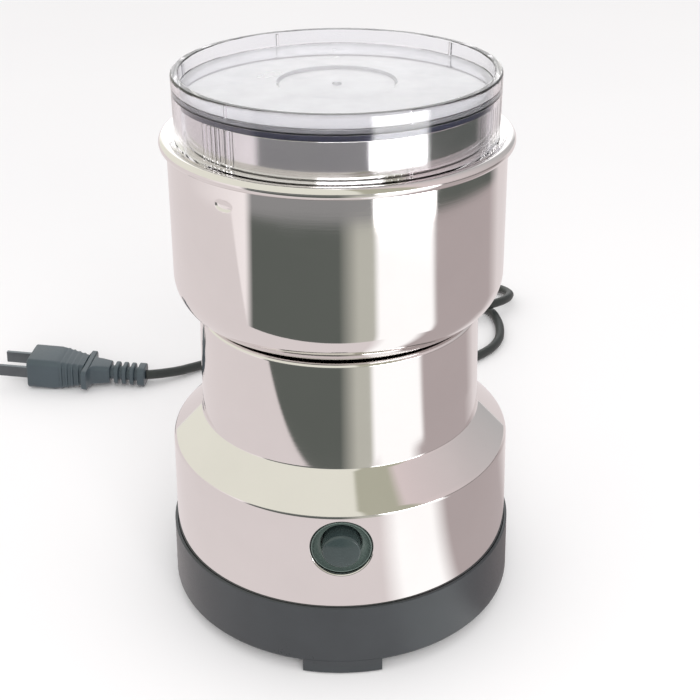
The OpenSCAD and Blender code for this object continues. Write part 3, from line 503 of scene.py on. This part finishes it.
# Levels and radii in mm, as in the CAD source
LEDGE_Z, CASING_Z, BODY_TOP_Z = 158.9, 103.8, 103.4
COLLAR_TOP_Z, CUP_FLOOR_Z = 170.1, 118.2
SHEET, CUP_SHEET = 0.7, 0.8
FLANGE_IN_R, BOWL_R, BOWL_TOP_R, BOWL_CORNER_R = 32.0, 51.3, 50.5, 12.4
BEAD_AT, BEAD_R = (50.9, 157.8), 1.8
LEDGE_OUT_R, CUP_R, CUP_CORNER_R, SEAL_R = 48.9, 44.6, 10.0, 6.1
DIMPLE_AZ, DIMPLE_Z = -128.0, 150.4


def make_casing():
    outside = path([(FLANGE_IN_R, CASING_Z, 0), (BOWL_R, CASING_Z, BOWL_CORNER_R),
                    (BOWL_TOP_R, BEAD_AT[1] - 1.7, 0)])
    bead = arc(BEAD_AT, BEAD_R, -100, 130, 28)
    top = path([bead[-1][1] + (0,), (LEDGE_OUT_R, LEDGE_Z, 0), (CUP_R, LEDGE_Z, 0), (CUP_R, LEDGE_Z - SHEET, 0),
                (BOWL_TOP_R - SHEET, LEDGE_Z - SHEET, 0)])
    inside = inset(outside, SHEET)
    chains = [split(outside, DIMPLE_Z - 4, DIMPLE_Z + 4, 0.3), line(outside[-1][1], bead[0][0]), bead, top,
              line(top[-1][1], inside[0][0]), inside, line(inside[-1][1], outside[0][0])]
    mid = Vector((math.cos(math.radians(DIMPLE_AZ)), math.sin(math.radians(DIMPLE_AZ)), 0))
    across = Vector((-mid.y, mid.x, 0))
    long_r, short_r, depth = 3.3, 1.75, 0.42

    def dimple(p):
        s, h = p.dot(across) / long_r, (p.z - DIMPLE_Z) / short_r
        q = s * s + h * h
        if q >= 1 or p.dot(mid) < 45:
            return p
        return p - mid * depth * (1 - q * q) ** 1.5

    near = [DIMPLE_AZ - 5 + 0.25 * i for i in range(41)]
    rest = [DIMPLE_AZ + 5 + 350 * i / 248 for i in range(1, 248)]
    angles = [a % 360 for a in near + rest]
    first = angles.index(min(angles))
    angles = angles[first:] + angles[:first]
    obj = turned("casing", chains, angles, warp=dimple)
    return finish_piece(obj, "housing", "polished_steel", "outer_bowl")


def make_cup():
    outside = path([(SEAL_R, CUP_FLOOR_Z - CUP_SHEET, 0), (CUP_R, CUP_FLOOR_Z - CUP_SHEET, CUP_CORNER_R),
                    (CUP_R, COLLAR_TOP_Z - 0.6, 0)])
    lip = arc((CUP_R - 0.4, COLLAR_TOP_Z - 0.4), 0.4, 0, 180, 12)
    inside = inset(outside, CUP_SHEET)
    chains = [outside, line(outside[-1][1], lip[0][0]), lip, line(lip[-1][1], inside[0][0]), inside,
              line(inside[-1][1], outside[0][0])]
    return finish_piece(turned("grinding_cup", chains), "housing", "bowl_steel", "grinding_bowl")


SKIRT_R, SHELL_FOOT_Z = 56.1, 21.6
SKIRT_TOP_R, SKIRT_TOP_Z = 55.0, 58.8
NECK_FOOT_R, NECK_Z, NECK_R = 45.0, 68.4, 44.0
BUTTON_Z, HOLE_R, HOLE_LIP = 47.0, 9.4, 0.55


def skirt_r_at(z):
    return SKIRT_R + (SKIRT_TOP_R - SKIRT_R) * (z - SHELL_FOOT_Z) / (SKIRT_TOP_Z - SHELL_FOOT_Z)


def make_shell():
    """The pressed body, with the button's hole cut in it and the hole's edge turned inwards."""
    outside = path([(SKIRT_R, SHELL_FOOT_Z, 0), (SKIRT_TOP_R, SKIRT_TOP_Z, 3), (NECK_FOOT_R, NECK_Z, 1.5),
                    (NECK_R, BODY_TOP_Z, 1.2), (FLANGE_IN_R, BODY_TOP_Z, 0)])
    inside = inset(outside, SHEET)
    chains = [outside, line(outside[-1][1], inside[0][0]), inside, line(inside[-1][1], outside[0][0])]
    obj = turned("shell", chains)
    steps = [s for chain in chains for s in chain]
    knife = bpy.data.meshes.new("knife")
    ring = [2 * math.pi * i / 96 for i in range(96)]
    r = HOLE_R + HOLE_LIP
    ends = [[Vector((r * math.cos(t), y, BUTTON_Z + r * math.sin(t))) * MM for t in ring] for y in (-65, -30)]
    sides = [(i, i + 96, (i + 1) % 96 + 96, (i + 1) % 96) for i in range(96)]
    knife.from_pydata(ends[0] + ends[1], [], sides + [tuple(range(96)), tuple(reversed(range(96, 192)))])
    cutter = bpy.data.objects.new("knife", knife)
    scene.collection.objects.link(cutter)
    cut = obj.modifiers.new("hole", "BOOLEAN")
    cut.operation, cut.solver, cut.object = "DIFFERENCE", "EXACT", cutter
    bpy.context.view_layer.update()
    whole = bpy.data.meshes.new_from_object(obj.evaluated_get(bpy.context.evaluated_depsgraph_get()))
    obj.modifiers.clear()
    obj.data = whole
    bpy.data.objects.remove(cutter)
    set_profile_normals(whole, steps)
    lip = turned_lip()
    join(obj, lip)
    obj.name = obj.data.name = "shell"
    return finish_piece(obj, "housing", "polished_steel", "body_shell")


def set_profile_normals(mesh, steps):
    """Exact normals again after a cut: each face takes those of the profile's step that it lies on."""
    normals = []
    for face in mesh.polygons:
        mid = face.center / MM
        spot, best = (math.hypot(mid.x, mid.y), mid.z), None
        for a, b, na, nb in steps:
            ax, az, bx, bz = a[0], a[1], b[0], b[1]
            run = (bx - ax) ** 2 + (bz - az) ** 2
            if run < 1e-12:
                continue
            t = max(0, min(1, ((spot[0] - ax) * (bx - ax) + (spot[1] - az) * (bz - az)) / run))
            gap = math.hypot(ax + (bx - ax) * t - spot[0], az + (bz - az) * t - spot[1])
            if best is None or gap < best[0]:
                best = (gap, a, b, na, nb)
        _, a, b, na, nb = best
        flat = math.hypot(mid.x, mid.y)
        out = Vector((na[0] * mid.x / flat, na[0] * mid.y / flat, na[1]))
        exact = abs(out.normalized().dot(face.normal)) > 0.8
        for i in face.vertices:
            p = mesh.vertices[i].co / MM
            if not exact:
                normals.append(face.normal.copy())
                continue
            size = math.hypot(p.x, p.y)
            run = (b[0] - a[0]) ** 2 + (b[1] - a[1]) ** 2
            t = max(0, min(1, ((size - a[0]) * (b[0] - a[0]) + (p.z - a[1]) * (b[1] - a[1])) / run))
            n = (na[0] + (nb[0] - na[0]) * t, na[1] + (nb[1] - na[1]) * t)
            normals.append(Vector((n[0] * p.x / size, n[0] * p.y / size, n[1])).normalized())
    mesh.polygons.foreach_set("use_smooth", [True] * len(mesh.polygons))
    mesh.normals_split_custom_set(normals)


def turned_lip():
    """The hole's edge: it leaves the skirt's face smoothly and turns into the bore."""
    around, across = 96, 7
    points, faces = [], []
    for i in range(around):
        t = 2 * math.pi * i / around
        for k in range(across):
            a = math.radians(90 * min(k, across - 2) / (across - 2))
            r = HOLE_R + HOLE_LIP * (1 - math.sin(a))
            sink = HOLE_LIP * (1 - math.cos(a)) + (0.75 if k == across - 1 else 0)
            x, z = r * math.cos(t), BUTTON_Z + r * math.sin(t)
            points.append(Vector((x, -math.sqrt(skirt_r_at(z) ** 2 - x * x) + sink, z)) * MM)
    for i in range(around):
        m = (i + 1) % around
        for k in range(across - 1):
            faces.append((i * across + k, i * across + k + 1, m * across + k + 1, m * across + k))
    mesh = bpy.data.meshes.new("lip")
    mesh.from_pydata(points, [], faces)
    mesh.polygons.foreach_set("use_smooth", [True] * len(faces))
    obj = bpy.data.objects.new("lip", mesh)
    scene.collection.objects.link(obj)
    return obj


def join(obj, other):
    with bpy.context.temp_override(active_object=obj, object=obj, selected_objects=[obj, other],
                                   selected_editable_objects=[obj, other]):
        bpy.ops.object.join()


BUTTON_FACE_Y, BUTTON_R, BUTTON_EDGE_R, STEM_R = -57.6, 5.8, 0.8, 1.8
FACE_DOME = 0.45
PLAY = 0.3
FLANGE_R = BUTTON_R + 1.3
BARREL_R = FLANGE_R + 2.2
# Depths behind the cap's face
FLANGE_DEPTH, FLANGE_END, STEM_END = 7.6, 8.9, 17.6
COLLAR_FRONT_Y, COLLAR_DISH_R = -54.7, 2.45
CREST_R, CREST_DEPTH = 0.175, 0.18
NUT_R = 11.4
# Depths behind the collar's front
NUT_DEPTH, NUT_END, BARREL_END = 2.1, 3.7, 13.2
THROAT_DEPTH, POCKET_DEPTH, POCKET_END = 3.1, 4.4, 12
ARM_X, ARM_MID_Y, ARM_SIZE, ARM_ROUND_R = 11, -38.8, (1.8, 25.6, 8), 0.3


def along_y(y):
    """Turns a lathe's axis to +Y, through the button's middle."""
    return Matrix.Translation(Vector((0, y, BUTTON_Z)) * MM) @ Matrix.Rotation(math.radians(-90), 4, "X")


def make_button():
    """The cap: a domed face, a rounded edge, a flange behind the collar and a thin stem."""
    face = BUTTON_R - BUTTON_EDGE_R
    dome_r = (face * face + FACE_DOME * FACE_DOME) / (2 * FACE_DOME)
    reach = math.degrees(math.asin(face / dome_r))
    edge_mid = FACE_DOME + BUTTON_EDGE_R
    chains = [arc((0, dome_r), dome_r, -90, -90 + reach, 12),
              arc((face, edge_mid), BUTTON_EDGE_R, -90, 0, 12),
              path([(BUTTON_R, edge_mid, 0), (BUTTON_R, FLANGE_DEPTH, 0), (FLANGE_R, FLANGE_DEPTH, 0.3),
                    (FLANGE_R, FLANGE_END, 0.3), (STEM_R, FLANGE_END, 0), (STEM_R, STEM_END, 0.4),
                    (0, STEM_END, 0)])]
    return finish_piece(turned("button", chains, place=along_y(BUTTON_FACE_Y)), "button", "button_plastic",
                        "button_cap")


def make_collar():
    """The dished ring round the cap, its barrel, and the two arms that hold the switch."""
    outer = HOLE_R - 0.3
    dish_at = (outer - 2 * CREST_R - COLLAR_DISH_R, CREST_DEPTH)
    dish = arc(dish_at, COLLAR_DISH_R, 85, 0, 14)
    crest = arc((outer - CREST_R, CREST_DEPTH), CREST_R, 180, 360, 8)
    bore, inner = BUTTON_R + PLAY, FLANGE_R + PLAY
    body = path([(outer, CREST_DEPTH, 0), (outer, NUT_DEPTH, 0), (NUT_R, NUT_DEPTH, 0.3), (NUT_R, NUT_END, 0.3),
                 (BARREL_R, NUT_END, 0), (BARREL_R, BARREL_END, 0.4), (STEM_R + PLAY, BARREL_END, 0),
                 (STEM_R + PLAY, POCKET_END, 0), (inner, POCKET_END, 0), (inner, POCKET_DEPTH, 0),
                 (bore, POCKET_DEPTH, 0), (bore, THROAT_DEPTH, 0.3), dish[0][0] + (0,)])
    obj = turned("button_ring", [dish, crest, body], place=along_y(COLLAR_FRONT_Y))
    for side in (-1, 1):
        join(obj, box("arm", (side * ARM_X, ARM_MID_Y, BUTTON_Z), ARM_SIZE, ARM_ROUND_R))
    return finish_piece(obj, "housing", "collar_plastic", "button_collar")


SPRING_FRONT_Y, SPRING_BACK_Y, SPRING_R, SPRING_WIRE_R, SPRING_TURNS = -48.1, -43.4, 4.2, 0.33, 4


def make_spring():
    """The button's return spring: a round wire wound at one fixed length, though the real one shortens as the
    button goes in.
    """
    sides, steps = 8, 24 * SPRING_TURNS
    points, faces = [], []
    for i in range(steps + 1):
        a = math.radians(360 * SPRING_TURNS * i / steps)
        y = SPRING_FRONT_Y + (SPRING_BACK_Y - SPRING_FRONT_Y) * i / steps
        out = Vector((math.cos(a), 0, math.sin(a)))
        for k in range(sides):
            t = math.radians(360 * k / sides)
            spot = out * (SPRING_R + SPRING_WIRE_R * math.cos(t))
            points.append((spot + Vector((0, y + SPRING_WIRE_R * math.sin(t), BUTTON_Z))) * MM)
    for i in range(steps):
        for k in range(sides):
            m = (k + 1) % sides
            faces.append((i * sides + k, (i + 1) * sides + k, (i + 1) * sides + m, i * sides + m))
    last = steps * sides
    faces += [tuple(range(sides)), tuple(reversed(range(last, last + sides)))]
    mesh = bpy.data.meshes.new("spring")
    mesh.from_pydata(points, [], faces)
    mesh.polygons.foreach_set("use_smooth", [True] * len(faces))
    obj = bpy.data.objects.new("spring", mesh)
    scene.collection.objects.link(obj)
    finish_piece(obj, "housing", "zinc_steel", "button_spring")
    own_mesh(obj)
    return obj


def box(name, middle, size, round_r):
    """A block with rounded edges, in mm."""
    mesh = bpy.data.meshes.new(name)
    b = bmesh.new()
    bmesh.ops.create_cube(b, size=1)
    bmesh.ops.scale(b, vec=Vector(size) * MM, verts=b.verts)
    bmesh.ops.bevel(b, geom=b.edges[:], offset=round_r * MM, segments=2, affect="EDGES", profile=0.5)
    bmesh.ops.translate(b, vec=Vector(middle) * MM, verts=b.verts)
    b.to_mesh(mesh)
    b.free()
    obj = bpy.data.objects.new(name, mesh)
    scene.collection.objects.link(obj)
    return obj


# --- plug --------------------------------------------------------------------------------------
RELIEF_L, PLUG_L = 15.6, 36.0


def slice_at(x, w, h, r, steps=8):
    """A rounded rectangle across the X axis."""
    points = []
    for k, (sy, sz) in enumerate(((1, 1), (-1, 1), (-1, -1), (1, -1))):
        for i in range(steps + 1):
            t = math.radians(90 * k + 90 * i / steps)
            points.append((x, sy * (w / 2 - r) + r * math.cos(t), sz * (h / 2 - r) + r * math.sin(t)))
    return points


def block(x0, x1, w0, h0, w1, h1, r, soft):
    """Slices of a block from x0 to x1, with both ends' edges rounded by soft."""
    out = []
    for k in range(5):
        t = math.radians(90 * k / 4)
        cut = 2 * soft * (1 - math.sin(t))
        out.append((x0 + soft * (1 - math.cos(t)), w0 - cut, h0 - cut, r - cut / 2))
    for k in range(5):
        t = math.radians(90 - 90 * k / 4)
        cut = 2 * soft * (1 - math.sin(t))
        out.append((x1 - soft * (1 - math.cos(t)), w1 - cut, h1 - cut, r - cut / 2))
    return out


def lofted(name, slices):
    """A closed skin through the slices, placed on the cord's end and turned and tilted as the plug lies."""
    rings = [slice_at(*one) for one in slices]
    count = len(rings[0])
    place = (Matrix.Translation(Vector(TO_PLUG[-1])) @ Matrix.Rotation(PLUG_YAW, 4, "Z")
             @ Matrix.Rotation(-PLUG_TILT, 4, "Y"))
    points = [(place @ Vector(p)) * MM for ring in rings for p in ring]
    faces = [(i * count + k, i * count + (k + 1) % count, (i + 1) * count + (k + 1) % count, (i + 1) * count + k)
             for i in range(len(rings) - 1) for k in range(count)]
    last = (len(rings) - 1) * count
    faces += [tuple(reversed(range(count))), tuple(range(last, last + count))]
    mesh = bpy.data.meshes.new(name)
    mesh.from_pydata(points, [], faces)
    mesh.polygons.foreach_set("use_smooth", [True] * len(faces))
    mesh.set_sharp_from_angle(angle=math.radians(50))
    obj = bpy.data.objects.new(name, mesh)
    scene.collection.objects.link(obj)
    return obj


RELIEF_HEAD_L, RELIEF_HEAD = 3.2, (9.8, 9)
RELIEF_CORE = (6.2, 6.2, 3.05)
RIB_AT, RIB_STEP, RIB_L, RIB, RIBS = 4.8, 3.5, 1.9, (9.4, 8.8), 3
GROOVE_STEP = 0.05


def make_relief():
    """A head and three ribs on a thin core."""
    slices = block(0, RELIEF_HEAD_L, *RELIEF_HEAD, *RELIEF_HEAD, 3, 0.5)
    for k in range(RIBS):
        x = RIB_AT + RIB_STEP * k
        slices += [(slices[-1][0] + GROOVE_STEP, *RELIEF_CORE), (x - GROOVE_STEP, *RELIEF_CORE)]
        slices += block(x, x + RIB_L, *RIB, *RIB, 3, 0.5)
    slices += [(slices[-1][0] + GROOVE_STEP, *RELIEF_CORE), (RELIEF_L, *RELIEF_CORE)]
    return finish_piece(lofted("plug_neck", slices), "housing", "plug_plastic", "plug_relief")


# Distances are from the plug's tail; sizes are width and height, and then the corners' radius.
TAIL_L, TAIL_THIN, TAIL_WIDE = 5, (9, 8.4), (10.4, 9)
THROAT = ((6.4, 11, 9.1, 2.2), (7.3, 12, 9.1, 2.2), (7.9, 13.4, 9.1, 2.2), (8.4, 15.6, 9.1, 2.1))
STOP_AT, STOP_END, STOP = 8.7, 11.2, (22.6, 9.2)
GRIP_AT, GRIP_L, GRIP_W, GRIP_H, GRIP_ROUND_R = 11, 13, 13.4, 9.8, 2.4
GRIP_WIDENS, GRIP_THICKENS = 4.6, 4.2
GRIP_RIBS, GRIP_RIB_AT, GRIP_RIB_STEP, GRIP_RIB_W, GRIP_RIB_WIDENS = 4, 13, 2.4, 15.4, 0.8
NOSE_AT, NOSE_FOOT, NOSE, NOSE_TIP = 23, (17.1, 13.3, 2.5), (17.9, 14), (18, 14)


def grip(at, foot=0.0):
    """The grip's size at a distance from the tail; its thickness may run ahead by foot."""
    return (GRIP_W + GRIP_WIDENS * (at - GRIP_AT) / GRIP_L,
            GRIP_H + GRIP_THICKENS * (at + foot - GRIP_AT) / GRIP_L, GRIP_ROUND_R)


def make_plug():
    """Tail, two finger stops, gripping ribs down both sides, and the thicker nose."""
    x = RELIEF_L
    slices = block(x, x + TAIL_L, *TAIL_THIN, *TAIL_WIDE, 2, 0.5)[:-4]
    slices += [(x + at, *size) for at, *size in THROAT]
    slices += block(x + STOP_AT, x + STOP_END, *STOP, *STOP, 2, 0.5)
    at = STOP_END + 0.1
    for k in range(GRIP_RIBS):
        rib = GRIP_RIB_AT + GRIP_RIB_STEP * k
        slices += [(x + at, *grip(at)), (x + rib - 0.1, *grip(rib))]
        for along, proud in ((0.15, 0), (0.55, 0.2), (0.95, 0)):
            wide = GRIP_RIB_W + GRIP_RIB_WIDENS * k + proud
            slices += [(x + rib + along, wide, *grip(rib, 0.5)[1:])]
        at = rib + 1.2
    slices += [(x + at, *NOSE_FOOT)]
    slices += block(x + NOSE_AT, x + PLUG_L, *NOSE, *NOSE_TIP, 2.6, 0.8)[4:]
    return finish_piece(lofted("plug_shell", slices), "housing", "plug_plastic", "plug_body")


make_casing()
make_cup()
make_shell()
make_button()
make_collar()
make_spring()
make_relief()
make_plug()

# --- CAD nodes that are shown as they are -------------------------------------------------------
NODE_SLOTS = {
    "lid": "clear_plastic", "lid_seal": "dark_seal", "base_cover": "base_plastic", "foot_pads": "pad_rubber",
    "shell_lugs": "zinc_steel", "base_screws": "zinc_steel",
    "switch_body": "inner_plastic",
    "bowl_support": "inner_plastic", "bowl_screws": "zinc_steel", "motor_top_bracket": "zinc_steel",
    "motor_bottom_bracket": "inner_plastic", "motor_screws": "zinc_steel", "stator_core": "core_steel",
    "field_coils": "copper_wire", "motor_shaft": "zinc_steel", "armature_core": "core_steel",
    "armature_winding": "copper_wire", "commutator": "bronze", "cooling_fan": "fan_plastic",
    "blade_spacer": "zinc_steel", "blade": "bowl_steel", "blade_nut": "zinc_steel",
    "upper_bearing": "bronze", "lower_bearing": "bronze", "shaft_seal": "pad_rubber",
    "brush_holders": "bronze", "carbon_brushes": "carbon", "brush_springs": "zinc_steel",
    "cord_gland": "cord_plastic", "supply_lead": "cord_plastic", "cord_clamp": "inner_plastic",
    "clamp_screws": "zinc_steel", "wires": "wire_cover", "coil_tie": "pad_rubber",
    "plug_pins": "plated_brass"}

for name, slot in NODE_SLOTS.items():
    obj = nodes[name]
    if not obj.material_slots:
        obj.data.materials.append(looks[slot])
    for place in obj.material_slots:
        place.material = looks[slot]

# --- stage -------------------------------------------------------------------------------------
FLOOR_HALF = 4.0
WHITE = (0.93, 0.92, 0.92)


def make_floor():
    mesh = bpy.data.meshes.new("floor")
    h = FLOOR_HALF
    mesh.from_pydata([(-h, -h, 0), (h, -h, 0), (h, h, 0), (-h, h, 0)], [], [(0, 1, 2, 3)])
    obj = bpy.data.objects.new("floor", mesh)
    scene.collection.objects.link(obj)
    n = Nodes("stage_floor")
    cloud = n.noise(0.25, 2, 0.5)
    n.set(Base_Color=n.ramp(cloud, [(0.3, (0.915, 0.905, 0.908)), (0.7, WHITE)]), Roughness=0.9)
    n.shader.inputs["Specular IOR Level"].default_value = 0.0
    obj.data.materials.append(n.material)


# What polished pieces mirror is painted reflection: a made-up room in a few plain tones, on a card and a sky that
# only mirrors see. Directions are in degrees from the front, right positive.
PALE, LIGHT, WHITE_CARD = (0.65, 0.6, 0.6), (0.85, 0.8, 0.8), (1.0, 1.0, 1.0)
GREY, OLIVE = (0.4, 0.35, 0.35), (0.45, 0.45, 0.4)
DARK, DUSK, MOSS = (0.1, 0.11, 0.1), (0.25, 0.25, 0.25), (0.25, 0.25, 0.2)
# the window tone is painted glare, seen only by mirrors
PAINTED_WINDOW_GLARE, BACK_WALL = (7.0, 7.0, 7.0), (0.8, 0.8, 0.8)
CARD_STRENGTH = 1.25
SKY_STRENGTH = 2.0


def around(dark, wood, window, wall):
    """Painted reflections of a room: its four parts ahead and to the right, with pale walls elsewhere."""
    return ((-180, PALE), (-110, PALE), (-60, LIGHT), (-55, dark), (0, dark), (12, wood), (21, wood), (25, window),
            (60, window), (64, wall), (115, wall), (130, PALE), (180, PALE))


# painted reflections on the card: the table's top near the object with a painted white highlight band, the room
# past its edge, and far off the window
PAINTED_TABLE_REFLECTION = ((-180, PALE), (20, PALE), (30, WHITE_CARD), (50, WHITE_CARD), (60, GREY), (110, GREY), (130, PALE),
         (180, PALE))
PAINTED_ROOM_REFLECTION = around(DARK, OLIVE, WHITE_CARD, GREY)
PAINTED_FAR_REFLECTION = around(DUSK, DUSK, PAINTED_WINDOW_GLARE, DARK)
# Painted reflections above the horizon, seen only by mirrors: a bright wall behind, an olive lamp ahead and a
# darker one to its right
PAINTED_SKY_REFLECTION = ((-180, BACK_WALL), (-165, BACK_WALL), (-150, OLIVE), (12, OLIVE), (16, MOSS), (46, MOSS), (54, GREY),
       (150, DUSK), (165, BACK_WALL), (180, BACK_WALL))
TABLE_EDGE_Y, TABLE_END_X, TABLE_END_R = -0.150, 0.050, 0.168
FAR_R, FAR_END_R = 0.455, 0.70
CARD_IN_R, CARD_OUT_R, CARD_Z, CARD_STEPS = 0.060, 3.0, 0.0008, 180


def direction(n, x, y):
    """Azimuth of the place as a share of a turn: 0 behind, rising through the left and the front."""
    az = n.math("DIVIDE", n.math("ARCTAN2", x, n.math("MULTIPLY", y, -1.0)), 2 * math.pi)
    return n.math("ADD", az, 0.5)


def by_direction(n, turn, stops):
    return n.ramp(turn, [((az + 180) / 360, colour) for az, colour in stops])


def mirrored_only(n):
    """1 for a ray that left the camera and met a mirror, and has not met a matt surface yet."""
    path = n.add("ShaderNodeLightPath")
    mirror = n.math("GREATER_THAN", path.outputs["Glossy Depth"], 0.5)
    return n.math("MULTIPLY", mirror, n.math("LESS_THAN", path.outputs["Diffuse Depth"], 0.5))


def make_painted_reflection_card():
    """A ring over the floor that only mirrors see, painting reflections on them: the table's near top, and
    beyond its edge a dark room with a bright window to the right of it."""
    points, faces = [], []
    for i in range(CARD_STEPS):
        t = 2 * math.pi * i / CARD_STEPS
        for r in (CARD_IN_R, CARD_OUT_R):
            points.append((r * math.cos(t), r * math.sin(t), CARD_Z))
    for i in range(CARD_STEPS):
        m = (i + 1) % CARD_STEPS
        faces.append((2 * i, 2 * i + 1, 2 * m + 1, 2 * m))
    mesh = bpy.data.meshes.new("card")
    mesh.from_pydata(points, [], faces)
    obj = bpy.data.objects.new("card", mesh)
    scene.collection.objects.link(obj)
    n = Nodes("painted_reflection_card")
    x, y, _ = n.split()
    turn, far = direction(n, x, y), n.across(x, y)
    room = by_direction(n, turn, PAINTED_ROOM_REFLECTION)
    past = n.between(y, TABLE_EDGE_Y + 0.002, TABLE_EDGE_Y - 0.003, 0.0, 1.0)
    right = n.math("MULTIPLY", n.between(far, TABLE_END_R - 0.004, TABLE_END_R + 0.004, 0.0, 1.0),
                   n.between(x, TABLE_END_X - 0.005, TABLE_END_X + 0.005, 0.0, 1.0))
    colour = n.mix(n.math("MAXIMUM", past, right), by_direction(n, turn, PAINTED_TABLE_REFLECTION), room)
    distant = n.math("MULTIPLY", n.between(far, FAR_R - 0.01, FAR_R + 0.01, 0.0, 1.0),
                     n.between(far, FAR_END_R - 0.02, FAR_END_R + 0.02, 1.0, 0.0))
    colour = n.mix(distant, colour, by_direction(n, turn, PAINTED_FAR_REFLECTION))
    # the card glows only for rays from mirrors: painted reflections, not a lamp
    glow = n.add("ShaderNodeEmission")
    glow.inputs["Strength"].default_value = CARD_STRENGTH
    n.link(colour, glow.inputs["Color"])
    clear = n.add("ShaderNodeBsdfTransparent")
    either = n.add("ShaderNodeMixShader")
    n.link(mirrored_only(n), either.inputs[0])
    n.link(clear.outputs[0], either.inputs[1])
    n.link(glow.outputs[0], either.inputs[2])
    n.link(either.outputs[0], n.tree.nodes["Material Output"].inputs["Surface"])
    obj.data.materials.append(n.material)
    for ray in ("camera", "diffuse", "volume_scatter", "shadow"):
        setattr(obj, "visible_" + ray, False)


def make_light(name, at, aim, size, watts):
    data = bpy.data.lights.new(name, "AREA")
    data.shape = "SQUARE"
    data.size = size
    data.energy = watts
    obj = bpy.data.objects.new(name, data)
    scene.collection.objects.link(obj)
    obj.location = at
    obj.rotation_euler = (Vector(aim) - Vector(at)).to_track_quat("-Z", "Y").to_euler()
    obj.visible_camera = False
    obj.visible_glossy = False


WORLD_TINT, WORLD_STRENGTH = (0.97, 0.965, 0.965), 0.95


def make_world():
    """Even white light on all matt surfaces; mirrors see painted reflections of the room's walls and lamp."""
    world = bpy.data.worlds.new("world")
    scene.world = world
    n = Nodes("world", world)
    x, y, _ = n.split()
    n.shader.inputs["Color"].default_value = (*WORLD_TINT, 1)
    n.shader.inputs["Strength"].default_value = WORLD_STRENGTH
    # painted reflections: only mirrors see these wall and lamp tones, in place of the even white
    room = n.add("ShaderNodeBackground")
    room.inputs["Strength"].default_value = SKY_STRENGTH
    n.link(by_direction(n, direction(n, x, y), PAINTED_SKY_REFLECTION), room.inputs["Color"])
    either = n.add("ShaderNodeMixShader")
    n.link(mirrored_only(n), either.inputs[0])
    n.link(n.shader.outputs[0], either.inputs[1])
    n.link(room.outputs[0], either.inputs[2])
    n.link(either.outputs[0], n.tree.nodes["World Output"].inputs["Surface"])


make_floor()
make_painted_reflection_card()
make_light("key", (0.2, -1.3, 0.8), (0, -0.15, 0.0), 1.2, 13)
make_world()
